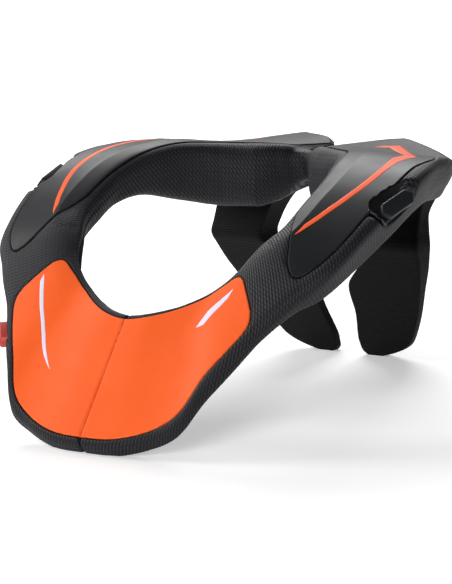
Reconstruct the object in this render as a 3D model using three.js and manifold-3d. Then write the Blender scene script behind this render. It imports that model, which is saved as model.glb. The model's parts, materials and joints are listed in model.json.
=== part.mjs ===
// A youth motocross neck brace: a padded foam collar that opens at the front, with two rear legs
// that lie down the back, moulded panels on its upper side, two strap hooks and a release button.
// Millimetres, +Z up. It is modelled with the inner rim of the front seam at 0,0,0 and +Y to the
// back, and moved at the end so that the middle of its footprint on the floor is the origin.

import * as THREE from 'three';
import { mergeVertices } from 'three/addons/utils/BufferGeometryUtils.js';
import Module from 'manifold-3d';

const wasm = await Module();
wasm.setup();

// Collar
const seam_height = 68.5;         // inner rim of the front seam above the floor
const hole_half_width = 74;      // centre line to the inner rim, at the sides
const hole_length = 164;         // front seam to nape, along the inner rim
const hole_rise = 68;            // how far the rim climbs from the front seam to the shoulders
const band_width = 60;           // inner rim to outer ridge, at the sides
const front_drop = 62;           // inner rim down to the lower edge of the front plate
const wall_height = 20;          // outer side wall under the ridge
const wall_tuck = 12;            // how far that wall leans in
const pad_height = 40;           // inner pad at the nape
const pad_lean = 10;             // how far the foot of the pad stands off the rim, sideways
const crown_height = 5;          // swell of the upper side
const crown_place = 0.3;         // where the swell is highest, as a share of the band
const rim_radius = 5;
const ridge_radius = 5;
const lower_radius = 6;
const pad_roundness = 0.35;      // radius at the foot of the pad, as a share of its height
const split_gap = 1;

// Rear legs
const leg_top = 46;              // above the seam's rim
const leg_half_span = 77;        // centre line to the leg's outer edge, at its crease
const leg_front = 165;           // front face of the leg at its crease, behind the seam
const leg_sweep = 29;            // how far the leg runs back below the crease
const leg_thickness = 15;
const leg_corner = 2.5;
const wing_back = 22;            // how far the wing's peak stands behind the leg
const wing_split = 173;          // where the wings begin, behind the seam
const peak_place = 0.37;         // where the peak stands, as a share of the leg's width
const peak_inner = 0.75;         // how far back the inner corner stands, as a share of the peak
const inner_lean = 2;            // how far that corner stands in from the inner edge

// Panels
const panel_depth = 2;           // how deep a moulded panel sits in the foam
const panel_proud = 0.4;
const clearance = 0.3;
const panel_end_step = 0.06;     // sections per millimetre, at a panel's ends
const cut_above = 4;             // how far a panel's seat is cleared above the foam
const cut_out = 40;              // how far a recess or pocket is cleared outward

// Strap hooks: a six-sided plate on a stem, in a recess across the collar's outer ridge
const hook_section = 8.97;       // the section whose ridge carries the hook
const hook_beyond = -4.9;        // from that ridge, along the section
const hook_above = -4.9;
const hook_along = new THREE.Vector3(0.08, 0.96, 0.25);
const hook_out = new THREE.Vector3(0.8, 0, 0.6);
const hook_length = 27;
const hook_width = 9;
const hook_plate = 4;
const hook_stem_length = 12;
const hook_stem_width = 5;
const hook_stand_off = 4;
const hook_taper = 0.45;         // length of a pointed end, as a share of the width
const recess_length = 44;
const recess_width = 17;
const seat_thickness = 1.6;

// Release button in the left side of the front plate, and the bar behind the front seam
const button_section = -4.66;    // sections below 0 run round the left side
const button_beyond = 1.1;       // from the ridge of that section, along it
const button_above = -5.3;
const button_along = new THREE.Vector3(0.58, -0.65, -0.5);
const button_out = new THREE.Vector3(-0.68, -0.73, 0);
const button_length = 20;
const button_height = 8;
const button_depth = 12;
const button_proud = 4;
const button_travel = 3;
const button_end_gap = 0.45;     // at its pointed ends
const bar_at = 0.32;             // place on the front plate, as a share of its height
const bar_under = 7.5;
const bar_length = 34;
const bar_height = 9;
const bar_thickness = 4;

// Collar sections from the front seam (row 0) round the right side to the nape (last row).
// rimX, rimY, rimZ: the inner rim, as shares of hole_half_width, hole_length and hole_rise.
// heading: where the section points in plan, in degrees. width, drop: the outer ridge from the rim,
// as shares of band_width and front_drop. wall, tuck: the outer wall, as shares of wall_height and
// wall_tuck. pad, lean: the inner wall, as shares of pad_height and pad_lean. crown: the swell.
const section_columns = [
  'rimX', 'rimY', 'rimZ', 'heading', 'width', 'drop', 'wall', 'tuck', 'pad', 'lean', 'crown',
];
const sections = [
  [0.00, 0.012, 0.00, -90, 0.83, 1.00, 0.47, 0.50, 0.28, -1.4, 0.0],
  [0.19, 0.020, 0.03, -79, 0.84, 1.02, 0.49, 0.42, 0.29, -1.2, 0.0],
  [0.37, 0.062, 0.08, -70, 0.90, 1.00, 0.46, 0.35, 0.33, -0.8, 0.1],
  [0.54, 0.117, 0.15, -68, 0.965, 0.93, 0.50, 0.10, 0.38, -0.1, 0.3],
  [0.655, 0.158, 0.22, -62, 0.895, 0.68, 0.62, 0.10, 0.42, 0.5, 0.6],
  [0.755, 0.196, 0.32, -43, 0.80, 0.43, 0.62, 0.35, 0.45, 0.6, 0.9],
  [0.86, 0.260, 0.50, -29, 0.90, 0.34, 0.65, 1.00, 0.46, 0.4, 1.0],
  [0.94, 0.345, 0.64, -24, 1.00, 0.28, 1.00, 1.35, 0.50, 0.7, 0.9],
  [0.945, 0.440, 0.77, -10, 1.04, 0.12, 1.30, 1.30, 0.52, 0.8, 0.7],
  [0.93, 0.535, 0.87, 0, 1.06, 0.04, 1.32, 1.10, 0.52, 0.9, 0.6],
  [0.86, 0.635, 0.95, 14, 1.09, 0.02, 1.20, 1.00, 0.62, 0.8, 0.5],
  [0.75, 0.745, 0.99, 32, 1.04, 0.09, 1.15, 0.80, 0.90, 0.4, 0.4],
  [0.55, 0.840, 0.98, 52, 1.22, 0.19, 1.00, 0.70, 1.03, 0.0, 0.2],
  [0.31, 0.893, 0.94, 78, 1.20, 0.09, 1.00, 0.75, 1.00, -0.2, 0.1],
  [0.17, 0.952, 0.91, 90, 0.90, 0.12, 1.00, 0.70, 0.74, 0.3, 0.1],
  [0.09, 0.980, 0.89, 90, 0.36, 0.07, 0.85, 0.30, 0.55, 0.2, 0.0],
  [0.00, 0.990, 0.88, 90, 0.27, 0.06, 0.75, 0.20, 0.48, 0.2, 0.0],
];
const last_row = sections.length - 1;

// Leg outlines from the wing (first row) to the tip. height: from the level of the seam's rim, as a
// share of leg_top upward and of seam_height downward. front: how far the front face lies behind the
// crease, as a share of leg_sweep. thick: of leg_thickness. inner, outer: of leg_half_span. peak: of
// wing_back.
const leg_columns = ['height', 'front', 'thick', 'inner', 'outer', 'peak'];
const legs = [
  [1.00, 0.38, 1.00, 0.26, 1.08, 1.00],
  [0.74, 0.31, 1.05, 0.36, 1.02, 0.60],
  [0.52, 0.24, 0.72, 0.44, 0.985, 0.50],
  [0.30, 0.10, 0.87, 0.49, 0.99, 0.25],
  [0.10, 0.00, 1.00, 0.50, 1.00, 0.08],
  [-0.12, 0.20, 0.67, 0.38, 0.96, 0.05],
  [-0.33, 0.42, 0.44, 0.20, 0.88, 0.02],
  [-0.60, 0.69, 0.32, 0.165, 0.76, 0.02],
  [-0.82, 0.86, 0.28, 0.12, 0.64, 0.02],
  [-0.90, 0.91, 0.27, 0.12, 0.56, 0.02],
  [-0.96, 0.95, 0.27, 0.13, 0.44, 0.02],
  [-1.01, 0.98, 0.27, 0.18, 0.28, 0.02],
];

// Panel outlines. at: the section. inner, outer: its edges, as shares of the band.
const panel_columns = ['at', 'inner', 'outer'];
const front_panel_rows = [
  [-0.2, 0.050, 0.950],
  [1.0, 0.050, 0.950],
  [2.0, 0.060, 0.940],
  [3.0, 0.075, 0.925],
  [4.0, 0.110, 0.900],
  [4.6, 0.150, 0.885],
  [4.85, 0.180, 0.870],
  [5.0, 0.230, 0.820],
  [5.07, 0.320, 0.720],
];
const side_panel_rows = [
  [6.15, 0.66, 0.74],
  [6.25, 0.56, 0.79],
  [6.5, 0.42, 0.81],
  [6.8, 0.29, 0.82],
  [7.1, 0.19, 0.83],
  [7.5, 0.13, 0.84],
  [8.0, 0.12, 0.84],
  [9.0, 0.11, 0.83],
  [10.0, 0.12, 0.82],
  [11.0, 0.13, 0.82],
  [11.5, 0.14, 0.87],
  [12.0, 0.15, 0.95],
  [13.0, 0.17, 0.95],
  [13.7, 0.22, 0.94],
  [14.1, 0.34, 0.92],
];

const foam_black = { color: 0x232328, roughness: 0.85, metalness: 0 };
const leg_black = { color: 0x141418, roughness: 0.85, metalness: 0 };
const rubber_grey = { color: 0x2f3135, roughness: 0.6, metalness: 0 };
const panel_orange = { color: 0xff703a, roughness: 0.5, metalness: 0 };
const hook_plastic = { color: 0x1b1c1f, roughness: 0.35, metalness: 0 };
const button_red = { color: 0xb83e32, roughness: 0.45, metalness: 0 };

// Fineness of the surfaces, and what a cut may leave
const corner_steps = 3;
const corner_room = 0.48;        // share of a side that the rounding of one corner may take
const band_edge = 0.1;           // share of the band that lies under the rounding of its edge
const band_steps = 6;
const collar_steps = 42;
const leg_steps = 20;
const shortest_edge = 0.08;
const thinnest_face = 0.02;
const most_passes = 12;
const weld = 1e-4;
const far = 400;                 // beyond the whole part

// Reads a table at any place between its rows, smoothly, with the rows beyond the ends given.
function smooth(rows, place, row_at) {
  const start = Math.floor(place);
  const t = place - start;
  const around = [-1, 0, 1, 2].map((step) => row_at(rows, start + step));
  return around[1].map((value, column) => {
    const [p0, p1, p2, p3] = around.map((row) => row[column]);
    return p1 + 0.5 * t * (p2 - p0 + t * (2 * p0 - 5 * p1 + 4 * p2 - p3 + t * (3 * (p1 - p2) + p3 - p0)));
  });
}

function named(columns, values) {
  return Object.fromEntries(columns.map((name, column) => [name, values[column]]));
}

// Past the nape the collar goes on as its own mirror image, and past the seam it starts again.
function mirrored_row(rows, index) {
  const turns = Math.floor(index / (2 * last_row));
  const within = index - turns * 2 * last_row;
  const row = named(section_columns, rows[within <= last_row ? within : 2 * last_row - within]);
  if (within > last_row) {
    row.rimX = -row.rimX;
    row.heading = 180 - row.heading;
  }
  row.heading += 360 * turns;
  return Object.values(row);
}

function held_row(rows, index) {
  return rows[Math.min(Math.max(index, 0), rows.length - 1)];
}

// The four corners of the collar's section, and its plane.
function collar_frame(place) {
  const row = named(section_columns, smooth(sections, place, mirrored_row));
  const angle = THREE.MathUtils.degToRad(row.heading);
  const width = row.width * band_width;
  const drop = row.drop * front_drop;
  return {
    origin: new THREE.Vector3(row.rimX * hole_half_width, row.rimY * hole_length, row.rimZ * hole_rise),
    out: new THREE.Vector3(Math.cos(angle), Math.sin(angle), 0),
    corners: [
      new THREE.Vector2(0, 0),
      new THREE.Vector2(width, -drop),
      new THREE.Vector2(width - row.tuck * wall_tuck, -drop - row.wall * wall_height),
      new THREE.Vector2(row.lean * pad_lean, -row.pad * pad_height),
    ],
    crown: row.crown * crown_height,
  };
}

// The swell across the band: nothing at both edges, most at crown_place.
function swell(share) {
  if (share <= 0 || share >= 1) return 0;
  const power = Math.log(0.5) / Math.log(crown_place);
  return Math.sin(Math.PI * share ** power);
}

function in_space(frame, point) {
  return frame.origin.clone().addScaledVector(frame.out, point.x).add(new THREE.Vector3(0, 0, point.y));
}

function band_point(place, share) {
  const frame = collar_frame(place);
  const [rim, ridge] = frame.corners;
  const across = ridge.clone().sub(rim);
  const normal = new THREE.Vector2(-across.y, across.x).normalize();
  const point = rim.clone().addScaledVector(across, share);
  return in_space(frame, point.addScaledVector(normal, frame.crown * swell(share)));
}

function band_normal(place, share) {
  const step = 0.02;
  const along = band_point(place + step, share).sub(band_point(place - step, share));
  const across = band_point(place, share + step).sub(band_point(place, share - step));
  return across.cross(along).normalize();
}

// The rounded outline of one collar section: four corners as arcs, and the upper side with its swell.
function collar_outline(place) {
  const frame = collar_frame(place);
  const radii = [rim_radius, ridge_radius, lower_radius, pad_roundness * frame.corners[3].length()];
  const outline = [];
  frame.corners.forEach((corner, index) => {
    const before = frame.corners[(index + 3) % 4].clone().sub(corner);
    const after = frame.corners[(index + 1) % 4].clone().sub(corner);
    const room = Math.min(before.length(), after.length()) * corner_room;
    const turn = before.normalize().dot(after.normalize());
    const half = Math.acos(THREE.MathUtils.clamp(turn, -1, 1)) / 2;
    const back = Math.min(radii[index] / Math.tan(half), room);
    const from = corner.clone().addScaledVector(before, back);
    const to = corner.clone().addScaledVector(after, back);
    const arc = new THREE.QuadraticBezierCurve(from, corner, to);
    arc.getPoints(corner_steps).forEach((point) => outline.push(point));
    if (index === 0) {
      const [rim, ridge] = frame.corners;
      const across = ridge.clone().sub(rim);
      const normal = new THREE.Vector2(-across.y, across.x).normalize();
      for (let step = 1; step < band_steps; step += 1) {
        const share = band_edge + (1 - 2 * band_edge) * (step / band_steps);
        outline.push(rim.clone().addScaledVector(across, share));
      }
      outline.forEach((point) => {
        const share = point.clone().sub(rim).dot(across) / across.lengthSq();
        point.addScaledVector(normal, frame.crown * swell(share));
      });
    }
  });
  return outline.map((point) => in_space(frame, point));
}

// Joins rings of points into one body: a ring of rings when closed, else with a fan on each end.
function skin(rings, closed) {
  const count = rings[0].length;
  const points = rings.flat();
  const faces = [];
  const rows = closed ? rings.length : rings.length - 1;
  for (let row = 0; row < rows; row += 1) {
    const next = (row + 1) % rings.length;
    for (let index = 0; index < count; index += 1) {
      const other = (index + 1) % count;
      faces.push([row * count + index, row * count + other, next * count + other]);
      faces.push([row * count + index, next * count + other, next * count + index]);
    }
  }
  if (!closed) {
    [rings[0], rings[rings.length - 1]].forEach((ring, end) => {
      const middle = points.length;
      points.push(ring.reduce((sum, point) => sum.add(point), new THREE.Vector3()).divideScalar(count));
      const first = end === 0 ? 0 : (rings.length - 1) * count;
      for (let index = 0; index < count; index += 1) {
        const pair = [first + index, first + ((index + 1) % count)];
        faces.push(end === 0 ? [middle, pair[1], pair[0]] : [middle, pair[0], pair[1]]);
      }
    });
  }
  return solid(points, faces);
}

// A solid from points and triangles, turned inside out if its faces point in.
function solid(points, faces) {
  let volume = 0;
  faces.forEach(([a, b, c]) => {
    volume += points[a].dot(points[b].clone().cross(points[c]));
  });
  const triangles = volume < 0 ? faces.map(([a, b, c]) => [a, c, b]) : faces;
  return new wasm.Manifold(new wasm.Mesh({
    numProp: 3,
    vertProperties: new Float32Array(points.flatMap((point) => point.toArray())),
    triVerts: new Uint32Array(triangles.flat()),
  }));
}

function solid_of(geometry) {
  geometry.deleteAttribute('normal');
  geometry.deleteAttribute('uv');
  const merged = mergeVertices(geometry, weld);
  return new wasm.Manifold(new wasm.Mesh({
    numProp: 3,
    vertProperties: new Float32Array(merged.attributes.position.array),
    triVerts: new Uint32Array(merged.index.array),
  }));
}

function block(from, to) {
  const size = to.clone().sub(from);
  const middle = from.clone().add(to).multiplyScalar(0.5);
  return solid_of(new THREE.BoxGeometry(size.x, size.y, size.z).translate(middle.x, middle.y, middle.z));
}

function mirror_of(body) {
  const { vertProperties, triVerts } = body.getMesh();
  return new wasm.Manifold(new wasm.Mesh({
    numProp: 3,
    vertProperties: vertProperties.map((value, index) => (index % 3 === 0 ? -value : value)),
    triVerts: triVerts.map((value, index) => triVerts[index + [0, 1, -1][index % 3]]),
  }));
}

const above_floor = block(new THREE.Vector3(-far, -far, -seam_height), new THREE.Vector3(far, far, far));
const split = block(
  new THREE.Vector3(-split_gap / 2, -far, -far),
  new THREE.Vector3(split_gap / 2, hole_length / 2, far),
);
const right_side = block(new THREE.Vector3(0, -far, -far), new THREE.Vector3(far, far, far));

function collar_body() {
  const rings = [];
  for (let step = 0; step < 2 * collar_steps; step += 1) {
    rings.push(collar_outline((step / collar_steps) * last_row));
  }
  return skin(rings, true);
}

// A panel that follows the band between its edges, from so deep to so proud, grown by a margin.
function panel_body(rows, deep, proud, margin) {
  const along_steps = rows.length * 2;
  const rings = [];
  for (let step = 0; step <= along_steps; step += 1) {
    const row = named(panel_columns, smooth(rows, (step / along_steps) * (rows.length - 1), held_row));
    const end = step === 0 ? -1 : step === along_steps ? 1 : 0;
    const place = row.at + end * margin * panel_end_step;
    const width = collar_frame(place).corners[1].length();
    const ring = [];
    const side = (lift, order) => {
      for (let index = 0; index <= band_steps; index += 1) {
        const t = order > 0 ? index / band_steps : 1 - index / band_steps;
        const share = row.inner - margin / width + t * (row.outer - row.inner + (2 * margin) / width);
        ring.push(band_point(place, share).addScaledVector(band_normal(place, share), lift));
      }
    };
    side(proud, 1);
    side(-deep, -1);
    rings.push(ring);
  }
  return skin(rings, false);
}

// One leg, its outline at each height: inner front, outer front, outer rear, peak, inner rear.
function leg_body() {
  const rings = [];
  for (let step = 0; step <= leg_steps; step += 1) {
    const row = named(leg_columns, smooth(legs, (step / leg_steps) * (legs.length - 1), held_row));
    const height = row.height > 0 ? row.height * leg_top : row.height * seam_height;
    const front = leg_front + row.front * leg_sweep;
    const rear = front + row.thick * leg_thickness;
    const inner = row.inner * leg_half_span;
    const outer = row.outer * leg_half_span;
    const peak = row.peak * wing_back;
    const corners = [
      [inner, front], [outer, front], [outer, rear],
      [inner + (outer - inner) * peak_place, rear + peak],
      [inner - row.thick * inner_lean, rear + peak * peak_inner],
    ].map(([x, y]) => new THREE.Vector2(x, y));
    const outline = rounded(corners, leg_corner * row.thick);
    rings.push(outline.map((point) => new THREE.Vector3(point.x, point.y, height)));
  }
  return skin(rings, false);
}

function rounded(corners, radius) {
  const outline = [];
  corners.forEach((corner, index) => {
    const before = corners[(index + corners.length - 1) % corners.length].clone().sub(corner);
    const after = corners[(index + 1) % corners.length].clone().sub(corner);
    const back = Math.min(radius, before.length() * corner_room, after.length() * corner_room);
    const arc = new THREE.QuadraticBezierCurve(
      corner.clone().addScaledVector(before.normalize(), back),
      corner,
      corner.clone().addScaledVector(after.normalize(), back),
    );
    outline.push(...arc.getPoints(corner_steps - 1));
  });
  return outline;
}

// Each edge of a closed mesh, with the face on its left: the key is the pair of its points.
function edges_of(faces) {
  const edges = new Map();
  faces.forEach((face, index) => {
    face.forEach((start, corner) => edges.set(`${start},${face[(corner + 1) % 3]}`, index));
  });
  return edges;
}

function face_normal(points, [a, b, c]) {
  return points[b].clone().sub(points[a]).cross(points[c].clone().sub(points[a]));
}

// Merges the end points of a short edge, where that leaves the mesh closed and turns no face over.
function merged_edge(points, faces, around, keep, drop) {
  const ring = (point) => new Set(around.get(point).flatMap((index) => faces[index]));
  const shared = [...ring(keep)].filter((point) => ring(drop).has(point));
  if (shared.length !== 4) return false;
  const moved = around.get(drop).filter((index) => !faces[index].includes(keep));
  const fits = moved.every((index) => {
    const face = faces[index].map((point) => (point === drop ? keep : point));
    return face_normal(points, face).dot(face_normal(points, faces[index])) > 0;
  });
  if (!fits) return false;
  around.get(drop).forEach((index) => {
    const face = faces[index].map((point) => (point === drop ? keep : point));
    faces[index] = faces[index].includes(keep) ? null : face;
  });
  return true;
}

// Turns the long edge of a flat sliver the other way, across the face behind it.
function turned_edge(points, faces, edges, index, corner) {
  const face = faces[index];
  const [start, end, tip] = [face[corner], face[(corner + 1) % 3], face[(corner + 2) % 3]];
  const other = edges.get(`${end},${start}`);
  const far_tip = faces[other].find((point) => point !== start && point !== end);
  if (edges.has(`${tip},${far_tip}`) || edges.has(`${far_tip},${tip}`)) return false;
  const pair = [[start, far_tip, tip], [far_tip, end, tip]];
  const whole = face_normal(points, faces[other]);
  if (pair.some((next) => face_normal(points, next).dot(whole) <= 0)) return false;
  [faces[index], faces[other]] = pair;
  return true;
}

// Where a cut crosses the facets it leaves tiny edges and slivers: they are merged away.
function without_slivers(points, start_faces) {
  let faces = start_faces;
  for (let pass = 0; pass < most_passes; pass += 1) {
    const edges = edges_of(faces);
    const around = new Map(points.map((point, index) => [index, []]));
    faces.forEach((face, index) => face.forEach((point) => around.get(point).push(index)));
    const touched = new Set();
    let changes = 0;
    faces.slice().forEach((face, index) => {
      const near = (point) => around.get(point).flatMap((other) => faces[other] ?? []);
      if (faces[index] === null || face.some((point) => touched.has(point))) return;
      const lengths = face.map((point, corner) => points[point].distanceTo(points[face[(corner + 1) % 3]]));
      const short = lengths.indexOf(Math.min(...lengths));
      const long = lengths.indexOf(Math.max(...lengths));
      const thin = face_normal(points, face).length() / lengths[long] < thinnest_face;
      if (lengths[short] < shortest_edge) {
        const ends = [face[short], face[(short + 1) % 3]];
        const reach = ends.flatMap(near);
        if (reach.some((point) => touched.has(point))) return;
        const done = merged_edge(points, faces, around, ends[0], ends[1])
          || merged_edge(points, faces, around, ends[1], ends[0]);
        if (done) {
          reach.forEach((point) => touched.add(point));
          changes += 1;
        }
      } else if (thin) {
        const other = edges.get(`${face[(long + 1) % 3]},${face[long]}`);
        const reach = [...face, ...faces[other]];
        if (reach.some((point) => touched.has(point))) return;
        if (turned_edge(points, faces, edges, index, long)) {
          reach.forEach((point) => touched.add(point));
          changes += 1;
        }
      }
    });
    faces = faces.filter((face) => face !== null);
    if (changes === 0) break;
  }
  return faces;
}

function mesh_of(body, name, look) {
  const data = body.getMesh();
  const numbers = Array.from(data.vertProperties);
  const points = numbers.filter((value, index) => index % 3 === 0)
    .map((value, index) => new THREE.Vector3().fromArray(numbers, 3 * index));
  const corners = Array.from(data.triVerts);
  const cut_faces = corners.filter((value, index) => index % 3 === 0)
    .map((value, index) => corners.slice(3 * index, 3 * index + 3));
  const faces = without_slivers(points, cut_faces);
  const flat = new THREE.BufferGeometry().setFromPoints(points).setIndex(faces.flat());
  const geometry = mergeVertices(flat.toNonIndexed(), weld / 100);
  const mesh = new THREE.Mesh(geometry, new THREE.MeshStandardMaterial(look));
  mesh.name = name;
  return mesh;
}

// Where a small part stands: along its length, out of the collar, and across both.
function stand(at, along, out) {
  const length = along.clone().normalize();
  const outward = out.clone().addScaledVector(length, -out.dot(length)).normalize();
  const across = outward.clone().cross(length);
  return new THREE.Matrix4().makeBasis(length, across, outward).setPosition(at);
}

// A point near the collar's outer ridge.
function near_ridge(place, beyond, above) {
  const frame = collar_frame(place);
  const ridge = frame.corners[1].clone();
  return in_space(frame, ridge.add(new THREE.Vector2(beyond, above)));
}

// A straight body with a flat outline, between two levels of a stand.
function prism(corners, from, to, place) {
  const shape = new THREE.Shape(corners.map(([x, y]) => new THREE.Vector2(x, y)));
  const geometry = new THREE.ExtrudeGeometry(shape, { depth: to - from, bevelEnabled: false });
  return solid_of(geometry.translate(0, 0, from).applyMatrix4(place));
}

function six_sided(length, width) {
  const end = length / 2;
  const flat = end - width * hook_taper;
  const half = width / 2;
  return [[-end, 0], [-flat, -half], [flat, -half], [end, 0], [flat, half], [-flat, half]];
}

function oblong(length, width) {
  const [end, side] = [length / 2, width / 2];
  return [[-end, -side], [end, -side], [end, side], [-end, side]];
}

const hook_at = near_ridge(hook_section, hook_beyond, hook_above);
const hook_place = stand(hook_at, hook_along, hook_out);
const seat_top = -hook_plate / 2 - hook_stand_off;
const seat_bottom = seat_top - seat_thickness;

function hook_body() {
  const plate = prism(six_sided(hook_length, hook_width), -hook_plate / 2, hook_plate / 2, hook_place);
  const stem = prism(oblong(hook_stem_length, hook_stem_width), seat_top + clearance, 0, hook_place);
  return plate.add(stem);
}

function seat_body() {
  const outline = six_sided(recess_length - 2 * clearance, recess_width - 2 * clearance);
  return prism(outline, seat_bottom, seat_top, hook_place);
}

function recess() {
  return prism(six_sided(recess_length, recess_width), seat_bottom - clearance, cut_out, hook_place);
}

const button_at = near_ridge(button_section, button_beyond, button_above);
const button_place = stand(button_at, button_along, button_out);

function button_body() {
  return prism(six_sided(button_length, button_height), -button_depth, button_proud, button_place);
}

function button_pocket() {
  const outline = six_sided(button_length + 2 * button_end_gap, button_height + 2 * clearance);
  return prism(outline, -button_depth - button_travel - clearance, cut_out, button_place);
}

function bar_place() {
  const place = band_point(0, bar_at).addScaledVector(band_normal(0, bar_at), -bar_under);
  return stand(place, new THREE.Vector3(1, 0, 0), band_normal(0, bar_at));
}

function bar_body(margin) {
  const outline = oblong(bar_length + 2 * margin, bar_height + 2 * margin);
  return prism(outline, -bar_thickness / 2 - margin, bar_thickness / 2 + margin, bar_place());
}

const whole_collar = collar_body();
const behind = (y) => block(new THREE.Vector3(-far, y, -far), new THREE.Vector3(far, far, far));
const wings = whole_collar.intersect(behind(wing_split));
const front_cut = panel_body(front_panel_rows, panel_depth + clearance, cut_above, clearance);
const side_cut = panel_body(side_panel_rows, panel_depth + clearance, cut_above, clearance);

const ring = [front_cut, side_cut, recess()]
  .flatMap((cut) => [cut, mirror_of(cut)])
  .concat([behind(wing_split - clearance), split, button_pocket(), bar_body(clearance)])
  .reduce((body, cut) => body.subtract(cut), whole_collar)
  .intersect(above_floor);
const leg = leg_body().add(wings.intersect(right_side)).intersect(above_floor).subtract(side_cut);
const front_panel = panel_body(front_panel_rows, panel_depth, panel_proud, 0)
  .intersect(right_side).subtract(split);
const side_panel = panel_body(side_panel_rows, panel_depth, panel_proud, 0).subtract(recess());

const group = new THREE.Group();
group.add(mesh_of(ring, 'foam_ring', foam_black));
[['right', (body) => body], ['left', mirror_of]].forEach(([side, placed]) => {
  group.add(mesh_of(placed(leg), `rear_leg_${side}`, leg_black));
  group.add(mesh_of(placed(front_panel), `front_panel_${side}`, panel_orange));
  group.add(mesh_of(placed(side_panel), `side_panel_${side}`, rubber_grey));
  group.add(mesh_of(placed(seat_body()), `hook_seat_${side}`, hook_plastic));
  group.add(mesh_of(placed(hook_body()), `strap_hook_${side}`, hook_plastic));
});
group.add(mesh_of(button_body(), 'release_button', button_red));
group.add(mesh_of(bar_body(0), 'closure_bar', hook_plastic));

const box = new THREE.Box3().setFromObject(group);
group.position.set(0, -(box.min.y + box.max.y) / 2, -box.min.z);

export default group;
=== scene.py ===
# %% [markdown]
# # A motocross neck brace
#
# A neck brace for young riders: a moulded foam collar under black fabric, open at the front seam,
# with two orange mouldings on its front plate, a dark rubber moulding on each shoulder, hooks for
# the body straps and two legs that lie down the back. The real one is foam in a mould, so almost
# every surface follows the same path round the neck. The lesson uses that: one table of sections
# is drawn round the neck, and cover, mouldings and printed stripes are all read from it.

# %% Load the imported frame
import json
import math

import bmesh
import bpy
import numpy as np
from mathutils import Matrix, Vector

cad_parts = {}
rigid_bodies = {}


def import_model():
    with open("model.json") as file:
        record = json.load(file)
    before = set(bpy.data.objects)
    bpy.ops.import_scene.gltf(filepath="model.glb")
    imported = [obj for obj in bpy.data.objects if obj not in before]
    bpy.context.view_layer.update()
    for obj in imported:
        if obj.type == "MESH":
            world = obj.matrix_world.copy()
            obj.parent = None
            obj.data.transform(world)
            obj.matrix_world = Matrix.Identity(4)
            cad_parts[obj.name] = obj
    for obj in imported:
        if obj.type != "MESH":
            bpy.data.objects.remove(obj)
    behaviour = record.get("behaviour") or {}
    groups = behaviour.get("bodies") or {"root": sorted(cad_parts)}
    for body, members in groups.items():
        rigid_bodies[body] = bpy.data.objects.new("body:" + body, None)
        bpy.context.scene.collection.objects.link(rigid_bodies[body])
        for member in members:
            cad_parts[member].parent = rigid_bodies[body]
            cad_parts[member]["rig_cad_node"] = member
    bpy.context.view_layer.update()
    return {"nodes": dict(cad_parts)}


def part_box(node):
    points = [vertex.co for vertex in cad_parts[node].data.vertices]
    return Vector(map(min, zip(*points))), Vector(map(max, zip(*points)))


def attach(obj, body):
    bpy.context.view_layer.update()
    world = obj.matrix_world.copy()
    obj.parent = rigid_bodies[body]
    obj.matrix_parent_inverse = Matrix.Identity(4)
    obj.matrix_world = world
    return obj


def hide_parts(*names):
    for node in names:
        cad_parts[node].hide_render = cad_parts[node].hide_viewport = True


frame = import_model()
MM = 0.001
print("nodes:", ", ".join(sorted(frame["nodes"])))

# %% [markdown]
# ## The sizes
#
# These are the driving sizes of the brace in millimetres. The zero point is the inner rim of the
# front seam, with +Y to the back. Each section of the table has shares of these sizes, so that a
# longer collar or a wider band would carry all its pieces along.

# %% Driving sizes
SEAM_HEIGHT = 68.5
HOLE_HALF_WIDTH = 74
HOLE_LENGTH = 164
HOLE_RISE = 68
BAND_WIDTH = 60
FRONT_DROP = 62
WALL_HEIGHT = 20
WALL_TUCK = 12
PAD_HEIGHT = 40
PAD_LEAN = 10
CROWN_HEIGHT = 6.2
CROWN_PLACE = 0.3
RIM_RADIUS = 5
RIDGE_RADIUS = 5
LOWER_RADIUS = 6
PAD_ROUNDNESS = 0.35
CORNER_ROOM = 0.48
SPLIT_GAP = 1
CLEARANCE = 0.3

# %% [markdown]
# ## The table of sections
#
# One row for each section from the front seam round the right side to the nape: where the inner
# rim is, where the section points, and how wide, how deep and how thick the foam is there.

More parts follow.
